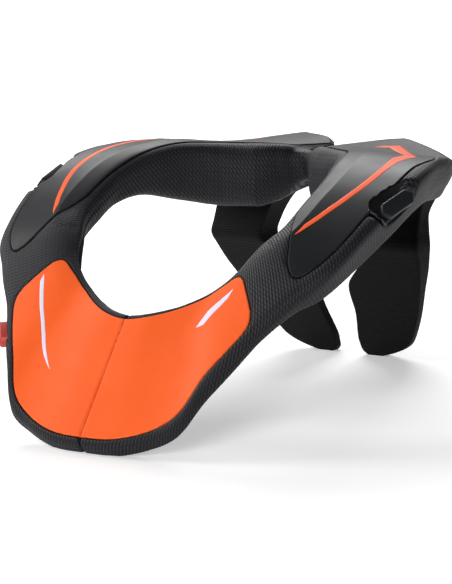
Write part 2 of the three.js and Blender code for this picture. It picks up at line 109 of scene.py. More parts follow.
# %% Collar table
SECTION_NAMES = [
    "rim_x", "rim_y", "rim_z", "heading", "width", "drop", "wall", "tuck", "pad", "lean", "crown"]
SECTIONS = np.array([
    [0.00, 0.012, 0.00, -90, 0.83, 1.00, 0.47, 0.50, 0.28, -1.4, 0.0],
    [0.19, 0.020, 0.03, -79, 0.84, 1.02, 0.49, 0.42, 0.29, -1.2, 0.0],
    [0.37, 0.062, 0.08, -70, 0.90, 1.00, 0.46, 0.35, 0.33, -0.8, 0.1],
    [0.54, 0.117, 0.15, -68, 0.965, 0.93, 0.50, 0.10, 0.38, -0.1, 0.3],
    [0.655, 0.158, 0.22, -62, 0.895, 0.68, 0.62, 0.10, 0.42, 0.5, 0.6],
    [0.755, 0.196, 0.32, -43, 0.80, 0.43, 0.62, 0.35, 0.45, 0.6, 0.9],
    [0.86, 0.260, 0.50, -29, 0.90, 0.34, 0.65, 1.00, 0.46, 0.4, 1.0],
    [0.94, 0.345, 0.64, -24, 1.00, 0.28, 1.00, 1.35, 0.50, 0.7, 0.9],
    [0.945, 0.440, 0.77, -10, 1.04, 0.12, 1.30, 1.30, 0.52, 0.8, 0.7],
    [0.93, 0.535, 0.87, 0, 1.06, 0.04, 1.32, 1.10, 0.52, 0.9, 0.6],
    [0.86, 0.635, 0.95, 14, 1.09, 0.02, 1.20, 1.00, 0.62, 0.8, 0.5],
    [0.75, 0.745, 0.99, 32, 1.04, 0.09, 1.15, 0.80, 0.90, 0.4, 0.4],
    [0.55, 0.840, 0.98, 52, 1.22, 0.23, 0.96, 0.70, 1.03, 0.0, 0.2],
    [0.31, 0.893, 0.94, 78, 1.20, 0.09, 1.00, 0.75, 1.00, -0.2, 0.1],
    [0.17, 0.952, 0.91, 90, 0.90, 0.12, 1.00, 0.70, 0.74, 0.3, 0.1],
    [0.09, 0.980, 0.89, 90, 0.36, 0.07, 0.85, 0.30, 0.55, 0.2, 0.0],
    [0.00, 0.990, 0.88, 90, 0.27, 0.06, 0.75, 0.20, 0.48, 0.2, 0.0],
])
LAST = len(SECTIONS) - 1


def whole_turn(rows):
    """The rows right round the neck: past the nape they come back as their mirror image."""
    back = rows[LAST - 1:0:-1].copy()
    back[:, 0] *= -1
    back[:, 3] = 180 - back[:, 3]
    turn = np.vstack([rows, back])
    before, after = turn[-2:].copy(), turn[:3].copy()
    before[:, 3] -= 360
    after[:, 3] += 360
    return np.vstack([before, turn, after])


def held(rows):
    """Rows with their ends repeated, for a table that stops."""
    rows = np.asarray(rows, float)
    return np.vstack([rows[:1], rows, rows[-1:], rows[-1:]])


def smooth(rows, places, first):
    """Rows read at any places between them, on a smooth curve through all rows."""
    at = np.asarray(places, float) - first
    start = np.clip(np.floor(at).astype(int), 1, len(rows) - 3)
    t = (at - start)[:, None]
    p0, p1, p2, p3 = (rows[start + step] for step in (-1, 0, 1, 2))
    return p1 + 0.5 * t * (p2 - p0 + t * (2 * p0 - 5 * p1 + 4 * p2 - p3 + t * (3 * (p1 - p2) + p3 - p0)))


# The wing's edge runs straight between two rows, with a corner at each.
STRAIGHT_PLACES, STRAIGHT_SHARES = [11.6, 12.0, 13.0, 13.5], [0, 1, 1, 0]


def straight(rows, place, first):
    """One row read between two rows on a straight line."""
    at = place - first
    start = int(np.clip(math.floor(at), 0, len(rows) - 2))
    t = at - start
    return rows[start] * (1 - t) + rows[start + 1] * t


COLLAR_ROWS = whole_turn(SECTIONS)
print("sections:", len(SECTIONS), "rows on one side,", 2 * LAST, "right round")


# %% [markdown]
# ## One section of the foam
#
# A section has four rounded corners: rim, ridge, outer foot and inner foot. The upper side swells
# between rim and ridge. The corners are arcs, so that the light runs over them softly, as it does
# over foam from a mould.

# %% Sections as outlines
ARC_STEPS = 12
SIDE_STEPS = 40

# How sharp the swell's ridge is, and how round the rim and the outer ridge are, by place.
CREASE_PLACES, CREASE_SHARES = [5.5, 7.0, 11.5, 13.0], [0.15, 0.9, 0.9, 0.4]
RIM_PLACES, RIM_SHARES = [5, 7.5, 11, 12.5, 14.5, 16], [1, 1.5, 1.7, 2.6, 2.4, 1]
RIDGE_PLACES, RIDGE_SHARES = [10.8, 11.8, 14.6, 15.2], [1, 0.35, 0.35, 1]


def swell(share, crease):
    """The swell across the band: none at its edges, most at CROWN_PLACE, and sharp there at crease 1."""
    inside = np.clip(share, 0, 1)
    power = math.log(0.5) / math.log(CROWN_PLACE)
    round_form = np.sin(np.pi * inside ** power)
    tent = np.where(inside < CROWN_PLACE, inside / CROWN_PLACE, (1 - inside) / (1 - CROWN_PLACE))
    return np.where((share <= 0) | (share >= 1), 0, (1 - crease) * round_form + crease * tent)


class Section:
    """One section of the collar in its own upright plane, as a closed outline of 2-D points."""

    def __init__(self, place):
        self.side_place = abs((place + LAST) % (2 * LAST) - LAST)
        wing = float(np.interp(self.side_place, STRAIGHT_PLACES, STRAIGHT_SHARES))
        values = (1 - wing) * smooth(COLLAR_ROWS, [place], -2)[0] + wing * straight(COLLAR_ROWS, place, -2)
        row = dict(zip(SECTION_NAMES, values))
        angle = math.radians(row["heading"])
        width, drop = row["width"] * BAND_WIDTH, row["drop"] * FRONT_DROP
        self.origin = np.array([
            row["rim_x"] * HOLE_HALF_WIDTH, row["rim_y"] * HOLE_LENGTH, row["rim_z"] * HOLE_RISE])
        self.out = np.array([math.cos(angle), math.sin(angle), 0])
        self.corners = np.array([
            [0, 0],
            [width, -drop],
            [width - row["tuck"] * WALL_TUCK, -drop - row["wall"] * WALL_HEIGHT],
            [row["lean"] * PAD_LEAN, -row["pad"] * PAD_HEIGHT],
        ])
        self.crown = row["crown"] * CROWN_HEIGHT
        self.crease = float(np.interp(self.side_place, CREASE_PLACES, CREASE_SHARES))
        self.across = self.corners[1] - self.corners[0]
        self.width = float(np.hypot(*self.across))
        self.up = np.array([-self.across[1], self.across[0]]) / self.width
        self._draw()

    def _draw(self):
        rim = RIM_RADIUS * np.interp(self.side_place, RIM_PLACES, RIM_SHARES)
        ridge = RIDGE_RADIUS * np.interp(self.side_place, RIDGE_PLACES, RIDGE_SHARES)
        radii = [rim, ridge, LOWER_RADIUS, PAD_ROUNDNESS * np.hypot(*self.corners[3])]
        arcs = []
        for index, corner in enumerate(self.corners):
            before = self.corners[index - 1] - corner
            after = self.corners[(index + 1) % 4] - corner
            lengths = np.hypot(*before), np.hypot(*after)
            before, after = before / lengths[0], after / lengths[1]
            half = math.acos(np.clip(before @ after, -1, 1)) / 2
            back = min(radii[index] / math.tan(half), min(lengths) * CORNER_ROOM)
            t = np.linspace(0, 1, ARC_STEPS + 1)[:, None]
            start, end = corner + before * back, corner + after * back
            arcs.append((1 - t) ** 2 * start + 2 * t * (1 - t) * corner + t ** 2 * end)
        outline = []
        for index, arc in enumerate(arcs):
            ahead = arcs[(index + 1) % 4][0]
            side = np.linspace(arc[-1], ahead, SIDE_STEPS + 1)[1:-1]
            outline += [arc, side]
        points = np.vstack(outline)
        top = np.arange(len(points)) < 2 * (ARC_STEPS + 1) + SIDE_STEPS - 1
        share = points @ self.across / self.width ** 2
        # One point goes exactly on the ridge, so that a sharp ridge stays sharp.
        at_crease = int(np.argmin(np.where(top, np.abs(share - CROWN_PLACE), 9)))
        points[at_crease] += (CROWN_PLACE - share[at_crease]) * self.across
        share[at_crease] = CROWN_PLACE
        points = points + np.where(top, self.crown * swell(share, self.crease), 0)[:, None] * self.up
        points = np.roll(points, -(ARC_STEPS // 2), axis=0)
        share = np.roll(share, -(ARC_STEPS // 2))
        closed = np.vstack([points, points[:1]])
        steps = np.hypot(*np.diff(closed, axis=0).T)
        self.outline = closed
        self.length = np.concatenate([[0], np.cumsum(steps)])
        self.top_count = ARC_STEPS // 2 + SIDE_STEPS + ARC_STEPS + ARC_STEPS // 2
        self.top_share = np.maximum.accumulate(share[:self.top_count])
        self.top_length = self.length[self.top_count - 1]

    def at_share(self, share):
        """Length along the outline at a share of the band."""
        return np.interp(share, self.top_share, self.length[:self.top_count])

    def space(self, lengths):
        """Points in space at these lengths along the outline."""
        x = np.interp(lengths, self.length, self.outline[:, 0])
        z = np.interp(lengths, self.length, self.outline[:, 1])
        return self.origin + x[:, None] * self.out + z[:, None] * np.array([0, 0, 1.0])


middle = Section(9)
print("section at the shoulder: band", round(middle.width, 1), "mm,",
      "right round", round(middle.length[-1], 1), "mm")

# %% [markdown]
# ## Where the mouldings lie
#
# The orange and the rubber mouldings sit in shallow trays in the foam. Their outlines are short
# tables too: at a place on the collar, the inner and the outer edge as shares of the band.

# %% Moulding outlines
FRONT_PANEL = [
    [-0.2, 0.050, 0.950],
    [1.0, 0.050, 0.950],
    [2.0, 0.060, 0.940],
    [3.0, 0.075, 0.925],
    [4.0, 0.110, 0.900],
    [4.6, 0.150, 0.885],
    [4.85, 0.180, 0.870],
    [5.0, 0.230, 0.820],
    [5.07, 0.320, 0.720],
]
SIDE_PANEL = [
    [6.15, 0.66, 0.74],
    [6.25, 0.56, 0.79],
    [6.5, 0.42, 0.81],
    [6.8, 0.29, 0.82],
    [7.1, 0.19, 0.83],
    [7.5, 0.13, 0.84],
    [8.0, 0.12, 0.84],
    [9.0, 0.11, 0.83],
    [10.0, 0.12, 0.82],
    [10.4, 0.125, 0.865],
    [10.7, 0.128, 0.915],
    [10.95, 0.13, 0.93],
    [11.2, 0.135, 0.895],
    [11.4, 0.138, 0.83],
    [11.6, 0.142, 0.85],
    [11.9, 0.148, 0.93],
    [12.3, 0.155, 0.955],
    [13.0, 0.17, 0.955],
    [13.7, 0.22, 0.94],
    [14.1, 0.34, 0.92],
]
PANEL_DEPTH = 2.0
PANEL_PROUD = 0.4
PANEL_EDGE = 0.6


def panel_rows(table, count):
    """The moulding's rows, finer than its table: place, inner and outer edge."""
    steps = np.linspace(0, len(table) - 1, count)
    return smooth(held(table), steps, -1)


# %% [markdown]
# ## A flat map of the upper side
#
# To know how far a point of the cover is from a moulding's edge, the upper side is unrolled: one
# coordinate runs along the middle of the band, the other across it. On that map a moulding is a
# plain polygon, and the distance to it is school geometry.

# %% The map
MAP_PLACES = np.linspace(-0.5, 2 * LAST + 0.5, 1400)
MAP_SECTIONS = [Section(place) for place in MAP_PLACES]
map_middle = np.array([s.space(s.at_share([0.5]))[0] for s in MAP_SECTIONS])
MAP_ALONG = np.concatenate([[0], np.cumsum(np.linalg.norm(np.diff(map_middle, axis=0), axis=1))])
MAP_ALONG -= np.interp(0, MAP_PLACES, MAP_ALONG)


def along(places):
    """Length along the middle of the band, from the front seam."""
    return np.interp(places, MAP_PLACES, MAP_ALONG)


def place_of(lengths):
    return np.interp(lengths, MAP_ALONG, MAP_PLACES)


def on_map(section, place, share):
    """A point of the band as (along, across) on the map."""
    return along(place), section.at_share(share) - section.at_share(0.5)


def map_outline(table, count=160):
    """A moulding's edge on the map, as a closed polygon."""
    rows = panel_rows(table, count)
    inner, outer = [], []
    for place, inner_share, outer_share in rows:
        section = Section(place)
        inner.append(on_map(section, place, inner_share))
        outer.append(on_map(section, place, outer_share))
    return np.array(inner + outer[::-1])


def distance_to(polygon, points):
    """Distance of map points to a polygon's edge, less than nothing inside it."""
    best = np.full(len(points), 1e9)
    inside = np.zeros(len(points), bool)
    ends = np.roll(polygon, -1, axis=0)
    for start, end in zip(polygon, ends):
        step = end - start
        t = np.clip((points - start) @ step / max(step @ step, 1e-12), 0, 1)
        best = np.minimum(best, np.linalg.norm(points - start - t[:, None] * step, axis=1))
        if start[1] != end[1]:
            crosses = (start[1] > points[:, 1]) != (end[1] > points[:, 1])
            x = start[0] + (points[:, 1] - start[1]) * step[0] / step[1]
            inside ^= crosses & (points[:, 0] < x)
    return np.where(inside, -best, best)


FRONT_MAP = map_outline(FRONT_PANEL)
SIDE_MAP = map_outline(SIDE_PANEL)
print("path round the neck:", round(float(along(2 * LAST)), 1), "mm")

# %% [markdown]
# ## The cover's net of points
#
# The cover is a closed tube of sections. Its lines are packed where something happens: at the
# edges of the mouldings, at the front seam and at the ends of the mouldings. Everywhere else they
# are a little over a millimetre apart, fine enough for the folds and soft dents.

# %% Lines round and along
LIP = np.array([-0.3, 0.25, 0.35, 0.55, 0.9, 1.4, 2.1])
TOP_INNER, TOP_MIDDLE, TOP_OUTER = 4, 34, 4
REST_LINES = 76
ROW_STEP = 1.7
SEAM_ROWS = np.array([0.0, 0.3, 0.7, 1.3, 2.2])
SEAM_ROOM = 0.5
ROOM_INSIDE, ROOM_OUTSIDE = 0.4, 2.4
NAPE_LINES = [[14.6, 0.36, 0.86], [15.3, 0.33, 0.7], [16.0, 0.33, 0.67]]
ANCHORS = np.array(FRONT_PANEL + SIDE_PANEL + NAPE_LINES)


def edge_shares(place):
    """Inner and outer moulding edge at any place. Between the mouldings the lines cross over."""
    side = place if place <= LAST else 2 * LAST - place
    return np.interp(side, ANCHORS[:, 0], ANCHORS[:, 1]), np.interp(side, ANCHORS[:, 0], ANCHORS[:, 2])


def cover_lines(section, place):
    """Lengths along one section's outline where the cover has points."""
    inner_share, outer_share = edge_shares(place)
    inner, outer = section.at_share(inner_share), section.at_share(outer_share)
    top = section.top_length
    room = min(1.0, inner / 3.2, (top - outer) / 3.2, (outer - inner) / 3.0)
    inner_lip = inner - LIP[::-1] * room
    outer_lip = outer + LIP * room
    before = np.linspace(0, inner_lip[0], TOP_INNER + 1)[:-1]
    between = np.linspace(inner_lip[-1], outer_lip[0], TOP_MIDDLE + 2)[1:-1]
    after = np.linspace(outer_lip[-1], top, TOP_OUTER + 1)[1:]
    rest = np.linspace(top, section.length[-1], REST_LINES + 1)[1:-1]
    return np.concatenate([before, inner_lip, between, outer_lip, after, rest])


def cover_places():
    """Places of the cover's rows on one side, from the seam to the nape."""
    half = float(along(LAST))
    rows = list(np.arange(0, half, ROW_STEP)) + [half]
    for row_of_end, way in ((FRONT_PANEL[-1], 1), (SIDE_PANEL[0], -1), (SIDE_PANEL[-1], 1)):
        end = float(along(row_of_end[0]))
        rows = [row for row in rows if not -ROOM_INSIDE < (row - end) * way < ROOM_OUTSIDE]
        rows += list(end + way * LIP)
    rows = [row for row in rows if row > SEAM_ROWS[-1] + SEAM_ROOM] + list(SEAM_ROWS)
    return place_of(np.array(sorted(rows)))


right_places = cover_places()
ALL_PLACES = np.concatenate([right_places, 2 * LAST - right_places[-2::-1]])
cover_sections = [Section(place) for place in ALL_PLACES]
cover_lengths = np.array([cover_lines(s, p) for s, p in zip(cover_sections, ALL_PLACES)])
cover_net = np.array([s.space(lengths) for s, lengths in zip(cover_sections, cover_lengths)])
across_map = cover_lengths - np.array([s.at_share(0.5) for s in cover_sections])[:, None]
whole_round = np.array([s.length[-1] for s in cover_sections])[:, None]
wrapped = np.where(across_map > whole_round / 2, across_map - whole_round, across_map)
side_places = np.where(ALL_PLACES <= LAST, ALL_PLACES, 2 * LAST - ALL_PLACES)
cover_map = np.stack([np.broadcast_to(along(side_places)[:, None], wrapped.shape), wrapped], axis=2)
print("cover net:", cover_net.shape[0], "rows of", cover_net.shape[1], "points")


# %% [markdown]
# ## Helpers for nets of points
#
# Most pieces here are nets: rows of points that become quads. The helpers give a net its normals,
# make a closed mesh of it, and move it from the drawing's zero point to the frame's.

# %% Net helpers
def net_normals(net):
    """Outward normals of a net that closes across its rows."""
    across = np.roll(net, -1, axis=1) - np.roll(net, 1, axis=1)
    forward = np.gradient(net, axis=0)
    normals = np.cross(across, forward)
    return normals / np.maximum(np.linalg.norm(normals, axis=2, keepdims=True), 1e-9)


own_low_y = cover_net[:, :, 1].min()
SHIFT = np.array([0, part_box("foam_ring")[0].y / MM - own_low_y, SEAM_HEIGHT])


def to_frame(points):
    """From the drawing's zero point, in millimetres, to the frame, in metres."""
    return (np.asarray(points, float) + SHIFT) * MM


def new_object(name, points, faces, uv=None):
    """A mesh object from points in the drawing's millimetres. uv: one pair for each face corner."""
    mesh = bpy.data.meshes.new(name)
    mesh.from_pydata(to_frame(points).tolist(), [], [list(face) for face in faces])
    if uv is not None:
        layer = mesh.uv_layers.new(name="Cloth")
        layer.data.foreach_set("uv", np.asarray(uv, np.float32).ravel())
    mesh.validate()
    thing = bpy.data.objects.new(name, mesh)
    bpy.context.scene.collection.objects.link(thing)
    thing.data.shade_smooth()
    return thing


def tube_faces(rows, count):
    """Quads of a tube of rows, with the pair (row, column) that each corner has on the net."""
    row, column = np.meshgrid(np.arange(rows - 1), np.arange(count), indexing="ij")
    other = (column + 1) % count
    faces = np.stack([row * count + column, row * count + other,
                      (row + 1) * count + other, (row + 1) * count + column], axis=2)
    corners = np.stack([
        np.stack([row, column], 2), np.stack([row, column + 1], 2),
        np.stack([row + 1, column + 1], 2), np.stack([row + 1, column], 2)], axis=2)
    return faces.reshape(-1, 4), corners.reshape(-1, 4, 2)


def tube_ends(rows, count):
    """The two faces that close a tube's ends."""
    return [list(range(count))[::-1], list(range((rows - 1) * count, rows * count))]


def outward(thing):
    """Turns a closed mesh's faces out."""
    shape = bmesh.new()
    shape.from_mesh(thing.data)
    bmesh.ops.recalc_face_normals(shape, faces=shape.faces)
    shape.to_mesh(thing.data)
    shape.free()
    return thing


print("drawing to frame:", SHIFT.round(2), "mm")

# %% [markdown]
# ## Strap hooks, button and bar: where they stand
#
# A small part stands in its own axes: along its length, across it, and out of the collar.


# %% Stands
def stand(at, along_way, out):
    """Rows of a matrix: along, across, outward; with the place of the stand."""
    length = np.array(along_way, float) / np.linalg.norm(along_way)
    outward_way = np.array(out, float) - length * (np.array(out, float) @ length)
    outward_way /= np.linalg.norm(outward_way)
    return np.array(at, float), np.array([length, np.cross(outward_way, length), outward_way])


def near_ridge(place, beyond, above):
    """A point near the collar's outer ridge, in the plane of that section."""
    section = Section(place)
    ridge = section.corners[1] + [beyond, above]
    return section.origin + ridge[0] * section.out + [0, 0, ridge[1]]


HOOK = stand(near_ridge(8.97, -4.9, -4.9), (0.08, 0.96, 0.25), (0.8, 0, 0.6))
HOOK_LENGTH, HOOK_WIDTH, HOOK_PLATE, HOOK_STAND_OFF = 27, 9, 4, 4
HOOK_STEM_LENGTH, HOOK_STEM_WIDTH = 12, 5
SEAT_THICKNESS = 1.6
SEAT_BOTTOM = -HOOK_PLATE / 2 - HOOK_STAND_OFF - SEAT_THICKNESS
BUTTON = stand(near_ridge(4.66, 1.1, -5.3) * [-1, 1, 1], (0.58, -0.65, -0.5), (-0.68, -0.73, 0))
BUTTON_LENGTH, BUTTON_HEIGHT, BUTTON_DEPTH, BUTTON_PROUD, BUTTON_TRAVEL = 20, 8, 12, 4, 3
BAR_LENGTH, BAR_HEIGHT, BAR_THICKNESS, BAR_UNDER, BAR_AT = 34, 9, 4, 7.5, 0.32


def from_stand(place, points):
    """Points of a stand's own axes, in the drawing."""
    at, axes = place
    return at + np.asarray(points, float) @ axes


def in_stand(place, points):
    """Points of the drawing, in a stand's own axes."""
    at, axes = place
    return (np.asarray(points, float) - at) @ axes.T


def six_sided(length, width, taper=0.45):
    """A flat six-sided outline, pointed at both ends."""
    end, half = length / 2, width / 2
    flat = end - width * taper
    return np.array([[-end, 0], [-flat, -half], [flat, -half], [end, 0], [flat, half], [-flat, half]])


def prism(name, corners, low, high, place, mirrored=False):
    """A straight closed block with a flat outline, between two levels of a stand."""
    count = len(corners)
    levels = [np.column_stack([corners, np.full(count, level)]) for level in (low, high)]
    points = from_stand(place, np.vstack(levels))
    if mirrored:
        points = points * [-1, 1, 1]
    faces = [list(range(count))[::-1], list(range(count, 2 * count))]
    for index in range(count):
        other = (index + 1) % count
        faces.append([index, other, count + other, count + index])
    return outward(new_object(name, points, faces))


def baked(thing, **extra):
    """Makes the result of a piece's modifiers its own mesh."""
    depsgraph = bpy.context.evaluated_depsgraph_get()
    made = bpy.data.meshes.new_from_object(thing.evaluated_get(depsgraph), **extra)
    thing.modifiers.clear()
    made.name = thing.name
    thing.data = made
    return thing


def cut(thing, cutter, way="DIFFERENCE"):
    """Cuts, joins or crosses a piece with a closed cutter, and drops the cutter."""
    step = thing.modifiers.new("cut", "BOOLEAN")
    step.operation = way
    step.solver = "EXACT"
    step.object = cutter
    baked(thing, preserve_all_data_layers=True, depsgraph=bpy.context.evaluated_depsgraph_get())
    bpy.data.objects.remove(cutter)
    return thing


print("hook at", HOOK[0].round(1), "button at", BUTTON[0].round(1))

# %% [markdown]
# ## The padded cover
#
# Under the fabric is foam, and fabric stretched over foam stands up between the lines that hold
# it: the mouldings' edges, the front seam and the strap hooks. A cloth simulation on a coarse copy
# of the cover finds that form. Its moves are capped and then read onto the fine net.

# %% Simulate the padding
PUFF_FRAMES = 20
PUFF_PRESSURE = 4.0
PUFF_CAP = 1.6
COARSE_ROWS = 4
COARSE_LINES = 2
PUFF_SMOOTHING = 6
SEAM_END = 60
HOLD_REACH = 6
PANEL_HOLD = 4
HOOK_HOLD = 24, 10.5
WING_HOLD = 166


def hold_weights(net_map, net):
    """1 where the cover is held, 0 where it is free."""
    flat = net_map.reshape(-1, 2)
    near = np.minimum(distance_to(FRONT_MAP, flat), distance_to(SIDE_MAP, flat)).reshape(net.shape[:2])
    held_by_panel = np.clip(1 - near / PANEL_HOLD, 0, 1)
    held_by_seam = np.clip(1 - np.abs(net[:, :, 0]) / HOLD_REACH, 0, 1) * (net[:, :, 1] < SEAM_END)
    held_by_floor = np.clip(1 - (net[:, :, 2] + SEAM_HEIGHT) / HOLD_REACH, 0, 1)
    hook_gap = np.abs(in_stand(HOOK, np.abs(net) * [1, 0, 0] + net * [0, 1, 1]))[:, :, :2] / HOOK_HOLD
    held_by_hook = np.clip(2 - hook_gap.max(axis=2), 0, 1)
    held_by_wing = np.clip((net[:, :, 1] - WING_HOLD) / HOLD_REACH, 0, 1)
    return np.max([held_by_panel, held_by_seam, held_by_floor, held_by_hook, held_by_wing], axis=0)


def simulate_cover(net, weights):
    """How far each point of a coarse net moves when the foam presses out."""
    rows, count = net.shape[:2]
    faces, _ = tube_faces(rows, count)
    thing = outward(new_object("puff", net.reshape(-1, 3), faces.tolist() + tube_ends(rows, count)))
    start = np.array([v.co for v in thing.data.vertices])
    group = thing.vertex_groups.new(name="held")
    for index, weight in enumerate(weights.ravel()):
        group.add([index], float(weight), "REPLACE")
    cloth = thing.modifiers.new("puff", "CLOTH")
    settings = cloth.settings
    settings.quality = 6
    settings.mass = 0.3
    settings.tension_stiffness = 18
    settings.compression_stiffness = 18
    settings.bending_stiffness = 4
    settings.use_pressure = True
    settings.uniform_pressure_force = PUFF_PRESSURE
    settings.effector_weights.gravity = 0
    settings.vertex_group_mass = "held"
    scene = bpy.context.scene
    for step in range(1, PUFF_FRAMES + 1):
        scene.frame_set(step)
    result = thing.evaluated_get(bpy.context.evaluated_depsgraph_get())
    end = np.array([v.co for v in result.data.vertices])
    scene.frame_set(1)
    bpy.data.objects.remove(thing)
    return ((end - start) / MM).reshape(net.shape)


normals = net_normals(cover_net)
weights = hold_weights(cover_map, cover_net)
puff = np.zeros(cover_net.shape[:2])
row_pick = np.unique(np.append(np.arange(0, len(cover_net), COARSE_ROWS), len(cover_net) - 1))
line_pick = np.arange(0, cover_net.shape[1], COARSE_LINES)
coarse = cover_net[np.ix_(row_pick, line_pick)]
moved = simulate_cover(coarse, weights[np.ix_(row_pick, line_pick)])
lift = np.sum(moved * normals[np.ix_(row_pick, line_pick)], axis=2)
lift = PUFF_CAP * np.tanh(lift / PUFF_CAP)
all_rows, all_lines = np.arange(len(cover_net)), np.arange(cover_net.shape[1])
by_row = np.array([np.interp(all_rows, row_pick, lift[:, k]) for k in range(len(line_pick))]).T
wide_lines = np.append(line_pick, cover_net.shape[1])
wide = np.column_stack([by_row, by_row[:, 0]])
puff = np.array([np.interp(all_lines, wide_lines, row) for row in wide])
for _ in range(PUFF_SMOOTHING):
    puff = 0.5 * puff + 0.25 * (np.roll(puff, 1, axis=1) + np.roll(puff, -1, axis=1))
puff *= 1 - weights
print("padding stands up by", round(float(puff.max()), 2), "mm at most, moved before the cap:",
      round(float(np.abs(moved).max()), 2))

# %% [markdown]
# ## Trays, seam and hook recesses
#
# The fabric dives round the edge of each moulding, which gives the thin dark line round them. At
# the front seam the cover's edge is rounded, and behind each strap hook the foam is pressed in.
# Each of these is a depth at every point of the net, so they can simply be added up.

# %% Trays, seam and scoops in the cover
TRAY_DEPTH = PANEL_DEPTH + CLEARANCE
LIP_DEPTH = 1.0
LIP_REACH = 0.45
SEAM_ROUNDING = 1.6


def tray_sink(gap):
    """How deep the cover lies at a distance from a moulding's edge."""
    lip = LIP_DEPTH * np.exp(-(gap - CLEARANCE) / LIP_REACH)
    return np.where(gap < CLEARANCE, TRAY_DEPTH, lip)


def seam_sink(points):
    """Rounds the cover's edge at the front seam."""
    reach = np.clip(1 - (np.abs(points[:, :, 0]) - SPLIT_GAP / 2) / SEAM_ROUNDING, 0, 1)
    round_edge = SEAM_ROUNDING * (1 - np.sqrt(1 - reach ** 2))
    return np.where(points[:, :, 1] < SEAM_END, round_edge, 0)


SCOOP_LENGTH, SCOOP_WIDTH, SCOOP_SQUARE = 17.5, 8.8, 2.6
SCOOP_INWARD = 1.9
SCOOP_EDGE, SCOOP_SOFTNESS, SCOOP_LEVELS = 1.25, 0.55, 25


def scoop_reach(local):
    """0 in the middle of a hook's scoop, 1 at its edge, in the hook's own axes."""
    length = np.abs(local[..., 0]) / SCOOP_LENGTH
    width = np.abs(local[..., 1] - SCOOP_INWARD) / SCOOP_WIDTH
    return (length ** SCOOP_SQUARE + width ** SCOOP_SQUARE) ** (1 / SCOOP_SQUARE)


def hook_sink(points, side):
    """Presses the foam in behind a strap hook, to a flat floor with soft walls."""
    local = in_stand(HOOK, points * [side, 1, 1])
    reach = scoop_reach(local)
    inside = np.clip((SCOOP_EDGE - reach) / SCOOP_SOFTNESS, 0, 1)
    inside = inside * inside * (3 - 2 * inside)
    floor_level = SEAT_BOTTOM - CLEARANCE
    deep = np.clip(local[:, :, 2] - floor_level, 0, None)
    near = (np.abs(local[:, :, 2]) < SCOOP_LEVELS) & (points[:, :, 0] * side > 0)
    local_move = -(deep * inside * near)[:, :, None] * HOOK[1][2]
    return local_move * [side, 1, 1]


print("tray:", TRAY_DEPTH, "mm deep; scoop:", 2 * SCOOP_LENGTH, "by", 2 * SCOOP_WIDTH, "mm")

# %% [markdown]
# ## Rolls, pads and the bevel's groove
#
# The real cover isn't even: it rolls over the rear end of each arm, bulges into a pad on both
# sides of the nape, and has a pressed line round the front plate. They are soft bumps along the
# collar, which is quicker and steadier than sculpting them.

# %% Soft forms of the cover
def bump_along(value, middle, reach):
    """A soft bump of height 1 round a middle value."""
    return np.exp(-((value - middle) / reach) ** 2)


tops = np.array([section.top_length for section in cover_sections])[:, None]
BEVEL_BAND = 2.2
GROOVE_DEPTH, GROOVE_REACH = 0.55, 0.55
GROOVE_END, GROOVE_FADE = 5.6, 0.8


def bevel_groove():
    """The line that parts the front plate's bevelled edge from its side wall."""
    fade = np.clip((GROOVE_END - side_places) / GROOVE_FADE, 0, 1)[:, None]
    return GROOVE_DEPTH * bump_along(cover_lengths, tops + BEVEL_BAND, GROOVE_REACH) * fade


def wall_share():
    """0 at the inner rim, 1 at the inner foot, for points of the inner wall; more than 1 below it."""
    feet = []
    for section in cover_sections:
        foot = np.argmin(np.hypot(*(section.outline - section.corners[3]).T))
        feet.append(section.length[foot])
    feet = np.array(feet)[:, None]
    return (whole_round - cover_lengths) / (whole_round - feet)


ROLL_SWELL = 4.2
RIM_SWELL = 2.4
NOTCH_DEPTH = 4.5


def roll_form():
    """The thick roll at the end of the arm, and the small notch that parts it from the wing."""
    beyond_ridge = cover_lengths - tops
    from_rim = np.minimum(cover_lengths, whole_round - cover_lengths)
    roll = ROLL_SWELL * bump_along(side_places, 11.15, 0.6)[:, None] * bump_along(beyond_ridge, 3, 10)
    roll += RIM_SWELL * bump_along(side_places, 13.9, 0.8)[:, None] * bump_along(from_rim, 0, 8)
    notch = NOTCH_DEPTH * bump_along(side_places, 11.9, 0.22)[:, None] * bump_along(beyond_ridge, 9, 9)
    return roll - notch


# %% Inner pads
PAD_SWELL = 3.4
PAD_PLACES, PAD_SHARES = [9.5, 12.0, 13.6, 14.6, 15.4, 16], [0, 0.5, 1, 0.9, 0.3, 0]
PAD_END = 1.3
PAD_ARC = np.array([
    [10.4, 0.38], [10.85, 0.35], [11.2, 0.37], [11.45, 0.42], [11.75, 0.58], [12.05, 0.77], [12.5, 0.83],
    [13.0, 0.82], [13.35, 0.80], [13.8, 0.70],
])
ARC_FADE = 0.6
ARC_LINE, ARC_LINE_REACH = 0.45, 0.8
ARC_STEP, ARC_STEP_REACH = 0.5, 0.12
WALL_OF_ROUND = 0.3


def pad_form(share):
    """The inner pads: they swell towards the nape, and a moulded arc crosses them."""
    inside = (share > 0) & (share < PAD_END)
    swelling = np.interp(side_places, PAD_PLACES, PAD_SHARES)[:, None]
    pad = PAD_SWELL * swelling * np.sin(np.pi * np.clip(share / PAD_END, 0, 1)) ** 1.5
    arc = np.interp(side_places, PAD_ARC[:, 0], PAD_ARC[:, 1])[:, None]
    wall_lengths = share * (whole_round * WALL_OF_ROUND)
    from_ends = np.minimum(side_places - PAD_ARC[0, 0], PAD_ARC[-1, 0] - side_places)
    fade = np.clip(from_ends / ARC_FADE, 0, 1)[:, None]
    line = ARC_LINE * bump_along(wall_lengths, arc * whole_round * WALL_OF_ROUND, ARC_LINE_REACH) * fade
    below = ARC_STEP * np.clip((share - arc) / ARC_STEP_REACH, 0, 1) * fade
    return np.where(inside, pad - line - below * np.clip(PAD_END - share, 0, 1), 0)


